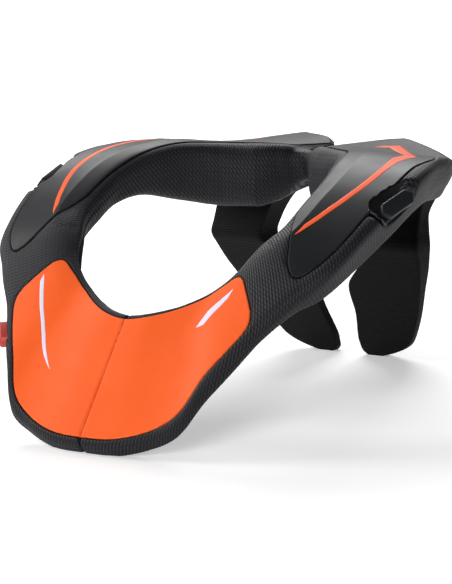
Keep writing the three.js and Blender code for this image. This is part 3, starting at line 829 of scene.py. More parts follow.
print("inner pads stand up by", PAD_SWELL, "mm at the nape")


# %% Shape the cover
SQUEEZE, SQUEEZE_REACH = 0.9, 5

flat_map = cover_map.reshape(-1, 2)
edge_gap = np.minimum(distance_to(FRONT_MAP, flat_map), distance_to(SIDE_MAP, flat_map))
edge_gap = edge_gap.reshape(cover_net.shape[:2])
x = cover_net[:, :, 0]
row_side = np.where(np.arange(len(x)) < len(x) / 2, 1, -1)[:, None]
squeezed = row_side * (SPLIT_GAP / 2 + np.abs(x) * SQUEEZE)
near_seam = (np.abs(x) < SQUEEZE_REACH) & (cover_net[:, :, 1] < SEAM_END)
shaped = cover_net.copy()
shaped[:, :, 0] = np.where(near_seam, squeezed, x)
raised_forms = puff + pad_form(wall_share()) + roll_form()
relief = raised_forms - tray_sink(edge_gap) - seam_sink(shaped) - bevel_groove()
shaped += relief[:, :, None] * normals
shaped += hook_sink(shaped, 1) + hook_sink(shaped, -1)
shaped[:, :, 2] = np.maximum(shaped[:, :, 2], -SEAM_HEIGHT)
print("cover's forms:", round(float(relief.min()), 1), "to", round(float(relief.max()), 1), "mm")

# %% [markdown]
# ## The cloth's own map
#
# The weave needs to know how the cloth lies: u runs round a section, v runs along the arm. On the
# inner wall u is counted from the rim, and v along a line of that wall, with a slant. Counted from
# the outer side, u would hold each section's whole length, which changes quickly near the nape,
# and the ribs would bend into rings there.

# %% The cloth map, and the cover as a mesh
faces, corners = tube_faces(*shaped.shape[:2])
WEAVE_START = 8
# The net's line, on the inner wall, that v is counted along there
WALL_LINE = -14
WALL_SLANT, WALL_STRETCH = -0.4, 0.85


def path_along(line):
    """Length along one line of the net, measured on each side from the middle of the arm."""
    lengths = np.concatenate([[0], np.cumsum(np.linalg.norm(np.diff(line, axis=0), axis=1))])
    right_zero, left_zero = np.interp([WEAVE_START, 2 * LAST - WEAVE_START], ALL_PLACES, lengths)
    return lengths - right_zero, left_zero - lengths


round_lengths = np.column_stack([cover_lengths, whole_round])
shares_of_wall = np.column_stack([wall_share(), np.zeros(len(cover_net))])
top_line = np.array([s.space(s.at_share([0.5]))[0] for s in cover_sections])
wall_line = cover_net[:, WALL_LINE]
row_of, line_of = corners[:, :, 0], corners[:, :, 1]
on_right = (ALL_PLACES[row_of[:, 0]] < LAST)[:, None]
on_wall = (shares_of_wall[row_of, line_of].max(axis=1) < 1)[:, None]
top_v, wall_v = (np.where(on_right, right_way[row_of], left_way[row_of])
                 for right_way, left_way in (path_along(top_line), path_along(wall_line)))
down_wall = whole_round[:, 0][row_of] - round_lengths[row_of, line_of]
v = np.where(on_wall, WALL_STRETCH * (wall_v + WALL_SLANT * down_wall), top_v)
u = np.where(on_wall, -down_wall, round_lengths[row_of, line_of])
rows, count = shaped.shape[:2]
end_uv = np.array([(k, 0) for k in range(count)] * 2, float)
cover_uv = np.concatenate([np.stack([u, v], axis=2).reshape(-1, 2), end_uv]) * MM
cover_faces = faces.tolist() + tube_ends(rows, count)
collar_cover = outward(new_object("collar_cover", shaped.reshape(-1, 3), cover_faces, cover_uv))
print("cover:", len(collar_cover.data.polygons), "faces")

# %% [markdown]
# ## The rear legs
#
# Each leg hangs from the wing at the back of its side: flat, bent once at a crease, and cut level
# at its tip. Its outline at each height is a row of a table, and the rows are drawn through.

# %% Leg table
LEG_TOP, LEG_HALF_SPAN, LEG_FRONT, LEG_SWEEP = 46, 77, 165, 29
LEG_THICKNESS, LEG_CORNER, WING_BACK, WING_SPLIT = 15, 2.5, 22, 173
PEAK_PLACE, PEAK_INNER, INNER_LEAN = 0.37, 0.75, 2
WING_INNER, WING_FAR = 9, 200
LEGS = [
    [1.00, 0.38, 1.00, 0.26, 1.08, 1.00],
    [0.74, 0.31, 1.05, 0.36, 1.02, 0.60],
    [0.52, 0.24, 0.72, 0.44, 0.985, 0.50],
    [0.30, 0.10, 0.87, 0.49, 0.99, 0.25],
    [0.10, 0.00, 1.00, 0.50, 1.00, 0.08],
    [-0.12, 0.20, 0.67, 0.38, 0.96, 0.05],
    [-0.33, 0.42, 0.44, 0.20, 0.88, 0.02],
    [-0.60, 0.69, 0.32, 0.165, 0.76, 0.02],
    [-0.82, 0.86, 0.28, 0.12, 0.64, 0.02],
    [-0.90, 0.91, 0.27, 0.12, 0.56, 0.02],
    [-0.96, 0.95, 0.27, 0.13, 0.44, 0.02],
    [-1.01, 0.98, 0.27, 0.18, 0.28, 0.02],
]
LEG_ROWS = 130
LEG_SIDE_STEPS = 14
LEG_ARC_STEPS = 5


def rounded(corners, radius):
    """A closed outline with arcs at its corners and steps along its sides."""
    corners = np.asarray(corners, float)
    arcs = []
    for index, corner in enumerate(corners):
        before = corners[index - 1] - corner
        after = corners[(index + 1) % len(corners)] - corner
        back = min(radius, np.hypot(*before) * CORNER_ROOM, np.hypot(*after) * CORNER_ROOM)
        start = corner + before / np.hypot(*before) * back
        end = corner + after / np.hypot(*after) * back
        t = np.linspace(0, 1, LEG_ARC_STEPS + 1)[:, None]
        arcs.append((1 - t) ** 2 * start + 2 * t * (1 - t) * corner + t ** 2 * end)
    outline = []
    for index, arc in enumerate(arcs):
        side = np.linspace(arc[-1], arcs[(index + 1) % len(arcs)][0], LEG_SIDE_STEPS + 1)[1:-1]
        outline += [arc, side]
    return np.vstack(outline)


def leg_net():
    """Rings of points down one leg, from its wing to its tip."""
    rings = []
    leg_rows = smooth(held(LEGS), np.linspace(0, len(LEGS) - 1, LEG_ROWS), -1)
    for height, front, thick, inner, outer, peak in leg_rows:
        level = height * (LEG_TOP if height > 0 else SEAM_HEIGHT)
        face = LEG_FRONT + front * LEG_SWEEP
        rear = face + thick * LEG_THICKNESS
        near, far = inner * LEG_HALF_SPAN, outer * LEG_HALF_SPAN
        back = peak * WING_BACK
        outline = rounded([
            (near, face), (far, face), (far, rear),
            (near + (far - near) * PEAK_PLACE, rear + back),
            (near - thick * INNER_LEAN, rear + back * PEAK_INNER),
        ], LEG_CORNER * thick)
        rings.append(np.column_stack([outline, np.full(len(outline), max(level, -SEAM_HEIGHT))]))
    return np.array(rings)


right_leg = leg_net()
print("leg net:", right_leg.shape)


# %% Legs and wings as pieces
def net_object(name, net, side):
    """A closed piece from a net whose rows close, with flat ends. side -1 mirrors it."""
    rows, count = net.shape[:2]
    faces, corners = tube_faces(rows, count)
    closed = np.concatenate([net, net[:, :1]], axis=1)
    steps = np.linalg.norm(np.diff(closed, axis=1), axis=2)
    round_way = np.concatenate([np.zeros((rows, 1)), np.cumsum(steps, axis=1)], axis=1)
    down = np.concatenate([[0], np.cumsum(np.linalg.norm(np.diff(net[:, 0], axis=0), axis=1))])
    row_of, line_of = corners[:, :, 0], corners[:, :, 1]
    uv = np.stack([round_way[row_of, line_of], down[row_of]], axis=2).reshape(-1, 2)
    end_uv = np.concatenate([net[0][::-1, :2], net[-1][:, :2]])
    points = net.reshape(-1, 3) * [side, 1, 1]
    all_faces = faces.tolist() + tube_ends(rows, count)
    return outward(new_object(name, points, all_faces, np.concatenate([uv, end_uv]) * MM))


def wing_region(side):
    """The block behind the line where a wing starts."""
    inner, far, back = WING_INNER, WING_FAR, WING_FAR + 100
    corners = np.array([[inner, WING_SPLIT], [far, WING_SPLIT], [far, back], [inner, back]]) * [side, 1]
    upright = (np.zeros(3), np.eye(3))
    return prism("region", corners, -far, far, upright)


leg_covers = {}
for side_name, side in (("right", 1), ("left", -1)):
    wing = collar_cover.copy()
    wing.data = collar_cover.data.copy()
    wing.name = f"leg_cover_{side_name}"
    bpy.context.scene.collection.objects.link(wing)
    cut(wing, wing_region(side), "INTERSECT")
    cut(wing, net_object("leg", right_leg, side), "UNION")
    leg_covers[side_name] = wing
    cut(collar_cover, wing_region(side))
    print(wing.name, len(wing.data.polygons), "faces")

# %% [markdown]
# ## Pockets
#
# The red button slides in a pocket of the foam, and a bar behind the front seam holds both sides
# together. Both need room, so their pockets are cut from the cover.

# %% Cut the pockets
BUTTON_END_GAP = 0.45
CUT_OUT = 40


def on_band(place, share):
    """One point of the upper side."""
    section = Section(place)
    return section.space(np.atleast_1d(section.at_share(share)))[0]


def band_stand(place, share):
    """A stand on the upper side, lying along +X, with its outward way square to the band."""
    step = 0.02
    forward = on_band(place + step, share) - on_band(place - step, share)
    across = on_band(place, share + step) - on_band(place, share - step)
    normal = np.cross(across, forward)
    normal /= np.linalg.norm(normal)
    return stand(on_band(place, share) - normal * BAR_UNDER, (1, 0, 0), normal)


pocket = six_sided(BUTTON_LENGTH + 2 * BUTTON_END_GAP, BUTTON_HEIGHT + 2 * CLEARANCE)
cut(collar_cover, prism("pocket", pocket, -BUTTON_DEPTH - BUTTON_TRAVEL - CLEARANCE, CUT_OUT, BUTTON))
bar_half = np.array([BAR_LENGTH, BAR_HEIGHT]) / 2 + CLEARANCE
bar_outline = np.array([[-1, -1], [1, -1], [1, 1], [-1, 1]]) * bar_half
bar_level = BAR_THICKNESS / 2 + CLEARANCE
cut(collar_cover, prism("bar_pocket", bar_outline, -bar_level, bar_level, band_stand(0, BAR_AT)))
print("cover after its pockets:", len(collar_cover.data.polygons), "faces")

# %% [markdown]
# ## The mouldings
#
# A moulding follows the band between its two edges. It is a thin closed shell: a top with a
# rounded edge, a wall, and a flat underside in its tray.

# %% Mouldings
PANEL_ROWS = {"front": 150, "side": 260}
EDGE_STEPS = np.array([0, 0.08, 0.22, 0.42, 0.7, 1.1])
PANEL_INNER, PANEL_OUTER = 8, 20
END_SHARES = np.array([0, 0.0006, 0.0018, 0.0034, 0.0056])
CREASE_LINES = np.array([-0.7, -0.2, 0.2, 0.7])
CREASE_ROOM = 1.2


def surface_normals(net):
    """Normals of an open net."""
    across = np.gradient(net, axis=1)
    forward = np.gradient(net, axis=0)
    normals = np.cross(across, forward)
    return normals / np.maximum(np.linalg.norm(normals, axis=2, keepdims=True), 1e-9)


def panel_net(table, count):
    """Points of the band inside a moulding's edges, and their places on the flat map."""
    total = len(table) - 1
    fine_end = total * (1 - END_SHARES)
    steps = np.unique(np.concatenate([np.linspace(0, total, count), fine_end, total - fine_end]))
    rows = smooth(held(table), steps, -1)
    net, places = [], []
    for place, inner_share, outer_share in rows:
        section = Section(place)
        inner, outer = section.at_share(inner_share), section.at_share(outer_share)
        room = min(1, (outer - inner) / 5)
        near = inner + EDGE_STEPS * room
        far = outer - EDGE_STEPS[::-1] * room
        crease_room = CREASE_ROOM * room
        crease = np.clip(section.at_share(CROWN_PLACE), near[-1] + crease_room, far[0] - crease_room)
        cluster = crease + CREASE_LINES * room
        inner_part = np.linspace(near[-1], cluster[0], PANEL_INNER + 2)[1:-1]
        outer_part = np.linspace(cluster[-1], far[0], PANEL_OUTER + 2)[1:-1]
        lengths = np.concatenate([near, inner_part, cluster, outer_part, far])
        net.append(section.space(lengths))
        middle_length = section.at_share(0.5)
        places.append(np.column_stack([np.full(len(lengths), along(place)), lengths - middle_length]))
    return np.array(net), np.array(places)


SCOOP_SPOKES = 56


def scoop_outline():
    """The round-cornered outline of a hook's scoop."""
    turn = np.linspace(0, 2 * math.pi, SCOOP_SPOKES, endpoint=False)
    power = 2 / SCOOP_SQUARE
    length = np.sign(np.cos(turn)) * np.abs(np.cos(turn)) ** power * SCOOP_LENGTH
    width = np.sign(np.sin(turn)) * np.abs(np.sin(turn)) ** power * SCOOP_WIDTH
    return np.column_stack([length, width]) + [0, SCOOP_INWARD]


def edge_fall(gap):
    """How far the top has rounded down at a distance from the edge."""
    reach = np.clip(1 - gap / PANEL_EDGE, 0, 1)
    return PANEL_EDGE * (1 - np.sqrt(1 - reach ** 2))


def shell_object(name, top, bottom, side):
    """A closed shell between two open nets."""
    rows, count = top.shape[:2]
    total = rows * count
    points = np.concatenate([top.reshape(-1, 3), bottom.reshape(-1, 3)]) * [side, 1, 1]
    row, column = np.meshgrid(np.arange(rows - 1), np.arange(count - 1), indexing="ij")
    first = (row * count + column).ravel()
    quads = np.stack([first, first + 1, first + count + 1, first + count], axis=1)
    below = quads[:, ::-1] + total
    rim = ([(0, k) for k in range(count)] + [(r, count - 1) for r in range(1, rows)]
           + [(rows - 1, k) for k in range(count - 2, -1, -1)] + [(r, 0) for r in range(rows - 2, 0, -1)])
    rim = [r * count + k for r, k in rim]
    walls = [[a, b, b + total, a + total] for a, b in zip(rim, rim[1:] + rim[:1])]
    return outward(new_object(name, points, quads.tolist() + below.tolist() + walls))


def panel_object(name, net, gap, side):
    """A moulding with a rounded upper edge. Each point keeps its distance to the edge, for the wear."""
    normals = surface_normals(net)
    top = net + (PANEL_PROUD - edge_fall(gap))[:, :, None] * normals
    thing = shell_object(name, top, net - PANEL_DEPTH * normals, side)
    edge = thing.data.attributes.new("edge", "FLOAT", "POINT")
    edge.data.foreach_set("value", np.tile(np.clip(gap.ravel(), 0, 20) * MM, 2).astype(np.float32))
    return thing


HALF_SEAM = 0.3
front_net, front_places = panel_net(FRONT_PANEL, PANEL_ROWS["front"])
front_net[:, :, 0] = np.maximum(front_net[:, :, 0], 0)
side_net, side_places_map = panel_net(SIDE_PANEL, PANEL_ROWS["side"])
panels = {}
for side_name, side in (("right", 1), ("left", -1)):
    gap = -distance_to(SIDE_MAP, side_places_map.reshape(-1, 2)).reshape(side_net.shape[:2])
    side_piece = panel_object(f"rubber_panel_{side_name}", side_net, np.maximum(gap, 0), side)
    cut(side_piece, prism("recess", scoop_outline(), -CUT_OUT, CUT_OUT, HOOK, side < 0))
    panels[f"side_{side_name}"] = side_piece

keep = front_net[:, :, 0].min(axis=1) > HALF_SEAM
first = int(np.argmax(keep)) - 1
front_net, front_places = front_net[first:], front_places[first:]
front_net[0, :, 0] = HALF_SEAM
seam_gap = np.abs(front_net[:, :, 0] - HALF_SEAM)
front_gap = -distance_to(FRONT_MAP, front_places.reshape(-1, 2)).reshape(front_net.shape[:2])
front_gap = np.minimum(np.maximum(front_gap, 0), seam_gap)
for side_name, side in (("right", 1), ("left", -1)):
    panels[f"front_{side_name}"] = panel_object(f"orange_panel_{side_name}", front_net, front_gap, side)
print("mouldings:", {name: len(piece.data.polygons) for name, piece in panels.items()})

# %% [markdown]
# ## Printed stripes
#
# The stripes are printed on the mouldings. Here each is a film of a tenth of a millimetre that
# follows the band between two edges, from a table of its corners: place and share of one edge,
# then of the other. The two sides aren't alike, because each was trimmed to its own moulding.

# %% Films for the prints
FILM = 0.08
FILM_LIFT = 0.03
GRID_PLACES = np.arange(-0.4, LAST + 0.4, 0.05)
GRID_SHARES = np.linspace(0, 1, 121)
band_grid = np.array([Section(p).space(Section(p).at_share(GRID_SHARES)) for p in GRID_PLACES])
band_normals = surface_normals(band_grid)


def read_grid(grid, places, shares):
    """A value of the band grid at places and shares between its points."""
    row = (np.asarray(places) - GRID_PLACES[0]) / (GRID_PLACES[1] - GRID_PLACES[0])
    column = np.asarray(shares) * (len(GRID_SHARES) - 1)
    r = np.clip(np.floor(row).astype(int), 0, len(GRID_PLACES) - 2)
    c = np.clip(np.floor(column).astype(int), 0, len(GRID_SHARES) - 2)
    a, b = (row - r)[..., None], (column - c)[..., None]
    return ((grid[r, c] * (1 - b) + grid[r, c + 1] * b) * (1 - a)
            + (grid[r + 1, c] * (1 - b) + grid[r + 1, c + 1] * b) * a)


def film(name, table, side, fine=14, wide=6):
    """A printed film between two edges of the band."""
    table = np.array(table, float)
    steps = np.linspace(0, len(table) - 1, (len(table) - 1) * fine + 1)
    rows = np.array([[np.interp(t, np.arange(len(table)), table[:, k]) for k in range(4)] for t in steps])
    t = np.linspace(0, 1, wide)[None, :]
    places = rows[:, [0]] * (1 - t) + rows[:, [2]] * t
    shares = rows[:, [1]] * (1 - t) + rows[:, [3]] * t
    net = read_grid(band_grid, places, shares)
    lift = read_grid(band_normals, places, shares)
    high = net + (PANEL_PROUD + FILM_LIFT) * lift
    low = net + (PANEL_PROUD + FILM_LIFT - FILM) * lift
    return shell_object(name, high, low, side)


# %% The stripes
FLASH = [
    [6.82, 0.347, 6.83, 0.349],
    [7.22, 0.345, 7.22, 0.394],
    [7.60, 0.396, 7.62, 0.452],
    [8.20, 0.466, 8.20, 0.528],
    [8.80, 0.517, 8.78, 0.582],
    [9.30, 0.545, 9.30, 0.617],
    [9.75, 0.562, 9.74, 0.632],
    [10.18, 0.570, 10.24, 0.660],
    [10.60, 0.585, 10.60, 0.716],
    [10.98, 0.660, 10.84, 0.788],
    [11.30, 0.615, 11.22, 0.728],
    [11.56, 0.585, 11.62, 0.692],
    [12.14, 0.572, 12.02, 0.669],
    [12.34, 0.585, 12.34, 0.702],
    [12.50, 0.598, 12.62, 0.741],
]
FLASH_ARM = [
    [12.62, 0.741, 12.50, 0.598],
    [12.63, 0.585, 12.46, 0.550],
    [12.55, 0.481, 12.53, 0.479],
]
LEFT_STRIPE = [
    [4.94, 0.442, 4.93, 0.444],
    [4.70, 0.448, 4.82, 0.500],
    [4.02, 0.492, 4.14, 0.533],
    [3.26, 0.513, 3.42, 0.552],
    [2.70, 0.560, 2.80, 0.585],
    [2.18, 0.610, 2.19, 0.612],
]
RIGHT_STRIPE = [
    [4.74, 0.305, 4.73, 0.307],
    [4.38, 0.286, 4.54, 0.351],
    [3.74, 0.266, 3.98, 0.353],
    [3.42, 0.286, 3.60, 0.362],
    [3.18, 0.311, 3.19, 0.313],
]
prints = {
    "flash_right": film("flash_right", FLASH, 1),
    "flash_left": film("flash_left", FLASH, -1),
    "flash_arm_right": film("flash_arm_right", FLASH_ARM, 1),
    "flash_arm_left": film("flash_arm_left", FLASH_ARM, -1),
    "stripe_left": film("stripe_left", LEFT_STRIPE, -1),
    "stripe_right": film("stripe_right", RIGHT_STRIPE, 1),
}
print("films:", {name: len(piece.data.polygons) for name, piece in prints.items()})

# %% [markdown]
# ## Hooks
#
# The strap hook is a six-sided plate on a stem. A straight block with its edges rounded by a
# bevel is all it needs, and the stem is joined on, so that the hook is one closed piece.

# %% Hooks
EDGE_ROUNDING = 0.9


def rounded_edges(thing, width, steps=3, angle=30):
    """Rounds a hard piece's edges, and makes the result its mesh."""
    bevel = thing.modifiers.new("round", "BEVEL")
    bevel.width = width * MM
    bevel.segments = steps
    bevel.limit_method = "ANGLE"
    bevel.angle_limit = math.radians(angle)
    baked(thing)
    thing.data.shade_smooth()
    return thing


hooks = {}
for side_name, side in (("right", 1), ("left", -1)):
    plate = prism(f"hook_{side_name}", six_sided(HOOK_LENGTH, HOOK_WIDTH), -HOOK_PLATE / 2, HOOK_PLATE / 2,
                  HOOK, side < 0)
    rounded_edges(plate, EDGE_ROUNDING)
    half = np.array([HOOK_STEM_LENGTH, HOOK_STEM_WIDTH]) / 2
    stem_outline = np.array([[-1, -1], [1, -1], [1, 1], [-1, 1]]) * half
    low = SEAT_BOTTOM + SEAT_THICKNESS + CLEARANCE
    stem = prism("stem", stem_outline, low, 0, HOOK, side < 0)
    rounded_edges(stem, EDGE_ROUNDING / 2)
    cut(plate, stem, "UNION")
    hooks[side_name] = plate
    print(plate.name, len(plate.data.polygons), "faces")

# %% [markdown]
# ## Scoops behind the hooks
#
# A strap's loop goes behind the hook, so the collar has a smooth rubber dish there. Its floor is
# level with the CAD seat, and its rim follows the collar's surface, which is read from the net.

# %% Scoops behind the hooks
SCOOP_RINGS = 14
SCOOP_RISE_START = 0.55
SCOOP_LIP = 1.4
SCOOP_THICKNESS = 1.2
NEAR_LENGTH, NEAR_WIDTH, NEAR_DEPTH = 30, 20, 14
NEAR_SOFTNESS = 0.05


def surface_level(flat_points):
    """How far out the cover's drawn surface lies, in the hook's axes, over points across it."""
    near = in_stand(HOOK, cover_net[: len(cover_net) // 2 + 1].reshape(-1, 3))
    beside = (np.abs(near[:, 0]) < NEAR_LENGTH) & (np.abs(near[:, 1]) < NEAR_WIDTH)
    near = near[beside & (near[:, 2] > -NEAR_DEPTH)]
    gaps = np.sum((flat_points[:, None, :] - near[None, :, :2]) ** 2, axis=2) + NEAR_SOFTNESS
    weights = gaps ** -2
    return weights @ near[:, 2] / weights.sum(axis=1)


def scoop_points():
    """Points of a dish: level in the middle, rising softly to the edge of its cut."""
    outline = scoop_outline()
    floor_level = SEAT_BOTTOM + SEAT_THICKNESS
    edge_level = surface_level(outline) + PANEL_PROUD - SCOOP_LIP
    rings = []
    for share in np.linspace(0, 1, SCOOP_RINGS + 1)[1:]:
        rise = np.clip((share - SCOOP_RISE_START) / (1 - SCOOP_RISE_START), 0, 1)
        rise = rise * rise * (3 - 2 * rise)
        ring = (outline - [0, SCOOP_INWARD]) * share + [0, SCOOP_INWARD]
        rings.append(np.column_stack([ring, floor_level * (1 - rise) + edge_level * rise]))
    return np.array(rings), floor_level


def scoop_object(name, side):
    """The dish as a closed piece: its upper side, its underside and a rim."""
    rings, floor_level = scoop_points()
    below = rings - [0, 0, SCOOP_THICKNESS]
    count = SCOOP_SPOKES
    middle = np.array([[0, SCOOP_INWARD, floor_level], [0, SCOOP_INWARD, floor_level - SCOOP_THICKNESS]])
    points = np.vstack([rings.reshape(-1, 3), below.reshape(-1, 3), middle])
    total = SCOOP_RINGS * count
    faces = []
    for level in (0, total):
        for ring in range(SCOOP_RINGS - 1):
            for k in range(count):
                a, b = ring * count + k + level, ring * count + (k + 1) % count + level
                faces.append([a, b, b + count, a + count])
        hub = 2 * total + (level > 0)
        faces += [[hub, k + level, (k + 1) % count + level] for k in range(count)]
    rim = (SCOOP_RINGS - 1) * count
    for k in range(count):
        here, ahead = rim + k, rim + (k + 1) % count
        faces.append([here, ahead, ahead + total, here + total])
    return outward(new_object(name, from_stand(HOOK, points) * [side, 1, 1], faces))


scoops = {name: scoop_object(f"hook_scoop_{name}", side) for name, side in (("right", 1), ("left", -1))}
print("scoops:", len(scoops["right"].data.polygons), "faces each")

# %% [markdown]
# ## The button
#
# The red button is a block with slanted facets round its face, so that a gloved thumb finds it.
# A wide bevel of one step makes the facets, and a fine one rounds what is left.

# %% Button
BUTTON_FACET = 2.2
button = prism("button_grip", six_sided(BUTTON_LENGTH, BUTTON_HEIGHT), -BUTTON_DEPTH, BUTTON_PROUD, BUTTON)
rounded_edges(button, BUTTON_FACET, steps=1, angle=75)
rounded_edges(button, EDGE_ROUNDING / 3, steps=2, angle=20)
print("button:", len(button.data.polygons), "faces before its ribs")

# %% [markdown]
# ## Grip ribs
#
# The ribs on the button are all alike and stand in a row, which is a job for Geometry Nodes: a
# line of points, a short bar on each, and the whole made real. The tree has its sizes as inputs.


# %% Ribs with Geometry Nodes
def rib_tree():
    """A tree that sets a row of short round bars."""
    tree = bpy.data.node_groups.new("grip_ribs", "GeometryNodeTree")
    face = tree.interface
    for label, kind in (("Start", "NodeSocketVector"), ("Step", "NodeSocketVector"),
                        ("Half Bar", "NodeSocketVector"), ("Radius", "NodeSocketFloat"),
                        ("Count", "NodeSocketInt"), ("Material", "NodeSocketMaterial")):
        face.new_socket(label, in_out="INPUT", socket_type=kind)
    face.new_socket("Geometry", in_out="OUTPUT", socket_type="NodeSocketGeometry")
    nodes, links = tree.nodes, tree.links
    given, made = nodes.new("NodeGroupInput"), nodes.new("NodeGroupOutput")
    line = nodes.new("GeometryNodeMeshLine")
    line.mode = "OFFSET"
    bar_line = nodes.new("GeometryNodeCurvePrimitiveLine")
    profile = nodes.new("GeometryNodeCurvePrimitiveCircle")
    profile.inputs["Resolution"].default_value = 8
    minus = nodes.new("ShaderNodeVectorMath")
    minus.operation = "SCALE"
    minus.inputs["Scale"].default_value = -1
    sweep, place_bars = nodes.new("GeometryNodeCurveToMesh"), nodes.new("GeometryNodeInstanceOnPoints")
    sweep.inputs["Fill Caps"].default_value = True
    real, paint = nodes.new("GeometryNodeRealizeInstances"), nodes.new("GeometryNodeSetMaterial")
    links.new(given.outputs["Start"], line.inputs["Start Location"])
    links.new(given.outputs["Step"], line.inputs["Offset"])
    links.new(given.outputs["Count"], line.inputs["Count"])
    links.new(given.outputs["Half Bar"], minus.inputs[0])
    links.new(minus.outputs["Vector"], bar_line.inputs["Start"])
    links.new(given.outputs["Half Bar"], bar_line.inputs["End"])
    links.new(given.outputs["Radius"], profile.inputs["Radius"])
    links.new(bar_line.outputs["Curve"], sweep.inputs["Curve"])
    links.new(profile.outputs["Curve"], sweep.inputs["Profile Curve"])
    links.new(line.outputs["Mesh"], place_bars.inputs["Points"])
    links.new(sweep.outputs["Mesh"], place_bars.inputs["Instance"])
    links.new(place_bars.outputs["Instances"], real.inputs["Geometry"])
    links.new(real.outputs["Geometry"], paint.inputs["Geometry"])
    links.new(given.outputs["Material"], paint.inputs["Material"])
    links.new(paint.outputs["Geometry"], made.inputs["Geometry"])
    return tree


def grown(name, tree, values):
    """A plain mesh made by a tree with these input values."""
    thing = bpy.data.objects.new(name, bpy.data.meshes.new(name))
    bpy.context.scene.collection.objects.link(thing)
    grow = thing.modifiers.new(name, "NODES")
    grow.node_group = tree
    sockets = {item.name: item.identifier for item in tree.interface.items_tree if item.in_out == "INPUT"}
    for label, value in values.items():
        grow[sockets[label]] = value
    return outward(baked(thing))


RIB_COUNT, RIB_STEP, RIB_HALF, RIB_RADIUS = 5, 2.4, 2.6, 0.45
rib_middle = (RIB_COUNT - 1) / 2
rib_start = to_frame(from_stand(BUTTON, [-rib_middle * RIB_STEP, 0, BUTTON_PROUD]))
ribs = grown("ribs", rib_tree(), {
    "Start": list(rib_start),
    "Step": list(BUTTON[1][0] * RIB_STEP * MM),
    "Half Bar": list(BUTTON[1][1] * RIB_HALF * MM),
    "Radius": RIB_RADIUS * MM,
    "Count": RIB_COUNT,
})
cut(button, ribs, "UNION")
print("button with its ribs:", len(button.data.polygons), "faces")

# %% [markdown]
# ## Finishes
#
# Three effects are used by more than one material, so each is a shader group of its own: the weave
# of the fabric, with painted highlights on its rib tops and painted shade in its grooves, the fine
# grain of moulded parts, and the wear on their edges. All are patterns in real sizes, on the cloth's
# own map or on the object's own coordinates.


# %% Helpers for shader trees
class Tree:
    """A node tree with short ways to add and link nodes."""

    def __init__(self, tree):
        self.nodes, self.links = tree.nodes, tree.links

    def add(self, kind, **settings):
        node = self.nodes.new(kind)
        for name, value in settings.items():
            setattr(node, name, value)
        return node

    def feed(self, socket, value):
        if isinstance(value, bpy.types.NodeSocket):
            self.links.new(value, socket)
        elif value is not None:
            socket.default_value = value

    def math(self, operation, first, second=None, third=None, clamp=False):
        node = self.add("ShaderNodeMath", operation=operation, use_clamp=clamp)
        for socket, value in zip(node.inputs, (first, second, third)):
            self.feed(socket, value)
        return node.outputs[0]

    def noise(self, vector, scale, detail=2.0):
        node = self.add("ShaderNodeTexNoise")
        self.feed(node.inputs["Vector"], vector)
        node.inputs["Scale"].default_value = scale
        node.inputs["Detail"].default_value = detail
        return node.outputs["Fac"]

    def spread(self, value, low, high, to_low=0.0, to_high=1.0):
        node = self.add("ShaderNodeMapRange")
        self.feed(node.inputs["Value"], value)
        for name, number in (("From Min", low), ("From Max", high), ("To Min", to_low), ("To Max", to_high)):
            node.inputs[name].default_value = number
        return node.outputs["Result"]

    def mix(self, factor, first, second):
        node = self.add("ShaderNodeMix", data_type="RGBA")
        self.feed(node.inputs["Factor"], factor)
        for socket, value in ((node.inputs[6], first), (node.inputs[7], second)):
            self.feed(socket, (*value, 1) if isinstance(value, tuple) else value)
        return node.outputs[2]

    def group(self, tree, **values):
        node = self.add("ShaderNodeGroup", node_tree=tree)
        for name, value in values.items():
            self.feed(node.inputs[name.replace("_", " ")], value)
        return node


def new_group(name, inputs, outputs):
    """A shader group with named sockets."""
    tree = bpy.data.node_groups.new(name, "ShaderNodeTree")
    for label, kind in inputs:
        tree.interface.new_socket(label, in_out="INPUT", socket_type=f"NodeSocket{kind}")
    for label, kind in outputs:
        tree.interface.new_socket(label, in_out="OUTPUT", socket_type=f"NodeSocket{kind}")
    work = Tree(tree)
    return tree, work, work.add("NodeGroupInput").outputs, work.add("NodeGroupOutput").inputs


# %% The weave
def weave_group():
    """Ribs in narrow columns, shifted from column to column as in a twill."""
    tree, work, given, made = new_group(
        "woven_rib", [("Vector", "Vector"), ("Pitch", "Float"), ("Column", "Float"), ("Slant", "Float"),
                      ("Shift", "Float")], [("Height", "Float"), ("Shade", "Float")])
    split = work.add("ShaderNodeSeparateXYZ")
    work.feed(split.inputs[0], given["Vector"])
    across, down = split.outputs["X"], split.outputs["Y"]
    column = work.math("DIVIDE", across, given["Column"])
    number = work.math("FLOOR", column)
    slanted = work.math("MULTIPLY_ADD", across, given["Slant"], down)
    turns = work.math(
        "ADD", work.math("DIVIDE", slanted, given["Pitch"]), work.math("MULTIPLY", number, given["Shift"]))
    wave = work.math("SINE", work.math("MULTIPLY", turns, 2 * math.pi))
    rib = work.math("MULTIPLY_ADD", wave, 0.5, 0.5)
    inside = work.math("SUBTRACT", column, number)
    edge = work.math("SINE", work.math("MULTIPLY", inside, math.pi))
    rounded_column = work.math("POWER", edge, 0.5)
    height = work.math("MULTIPLY", rib, work.math("MULTIPLY_ADD", rounded_column, 0.5, 0.5))
    work.feed(made["Height"], height)
    # Shade is painted light: lighter on the rib tops as a painted highlight, darker in the grooves as
    # painted shade.
    work.feed(made["Shade"], work.math("POWER", height, 0.8))
    return tree


# %% Grain and wear
def grain_group():
    """The fine grain of a moulded part, and broad soft changes of its tone."""
    tree, work, given, made = new_group(
        "fine_grain", [("Vector", "Vector")], [("Height", "Float"), ("Tone", "Float")])
    fine = work.noise(given["Vector"], 2600.0, 3.0)
    broad = work.noise(given["Vector"], 45.0, 3.0)
    work.feed(made["Height"], fine)
    work.feed(made["Tone"], work.spread(broad, 0.3, 0.7))
    return tree


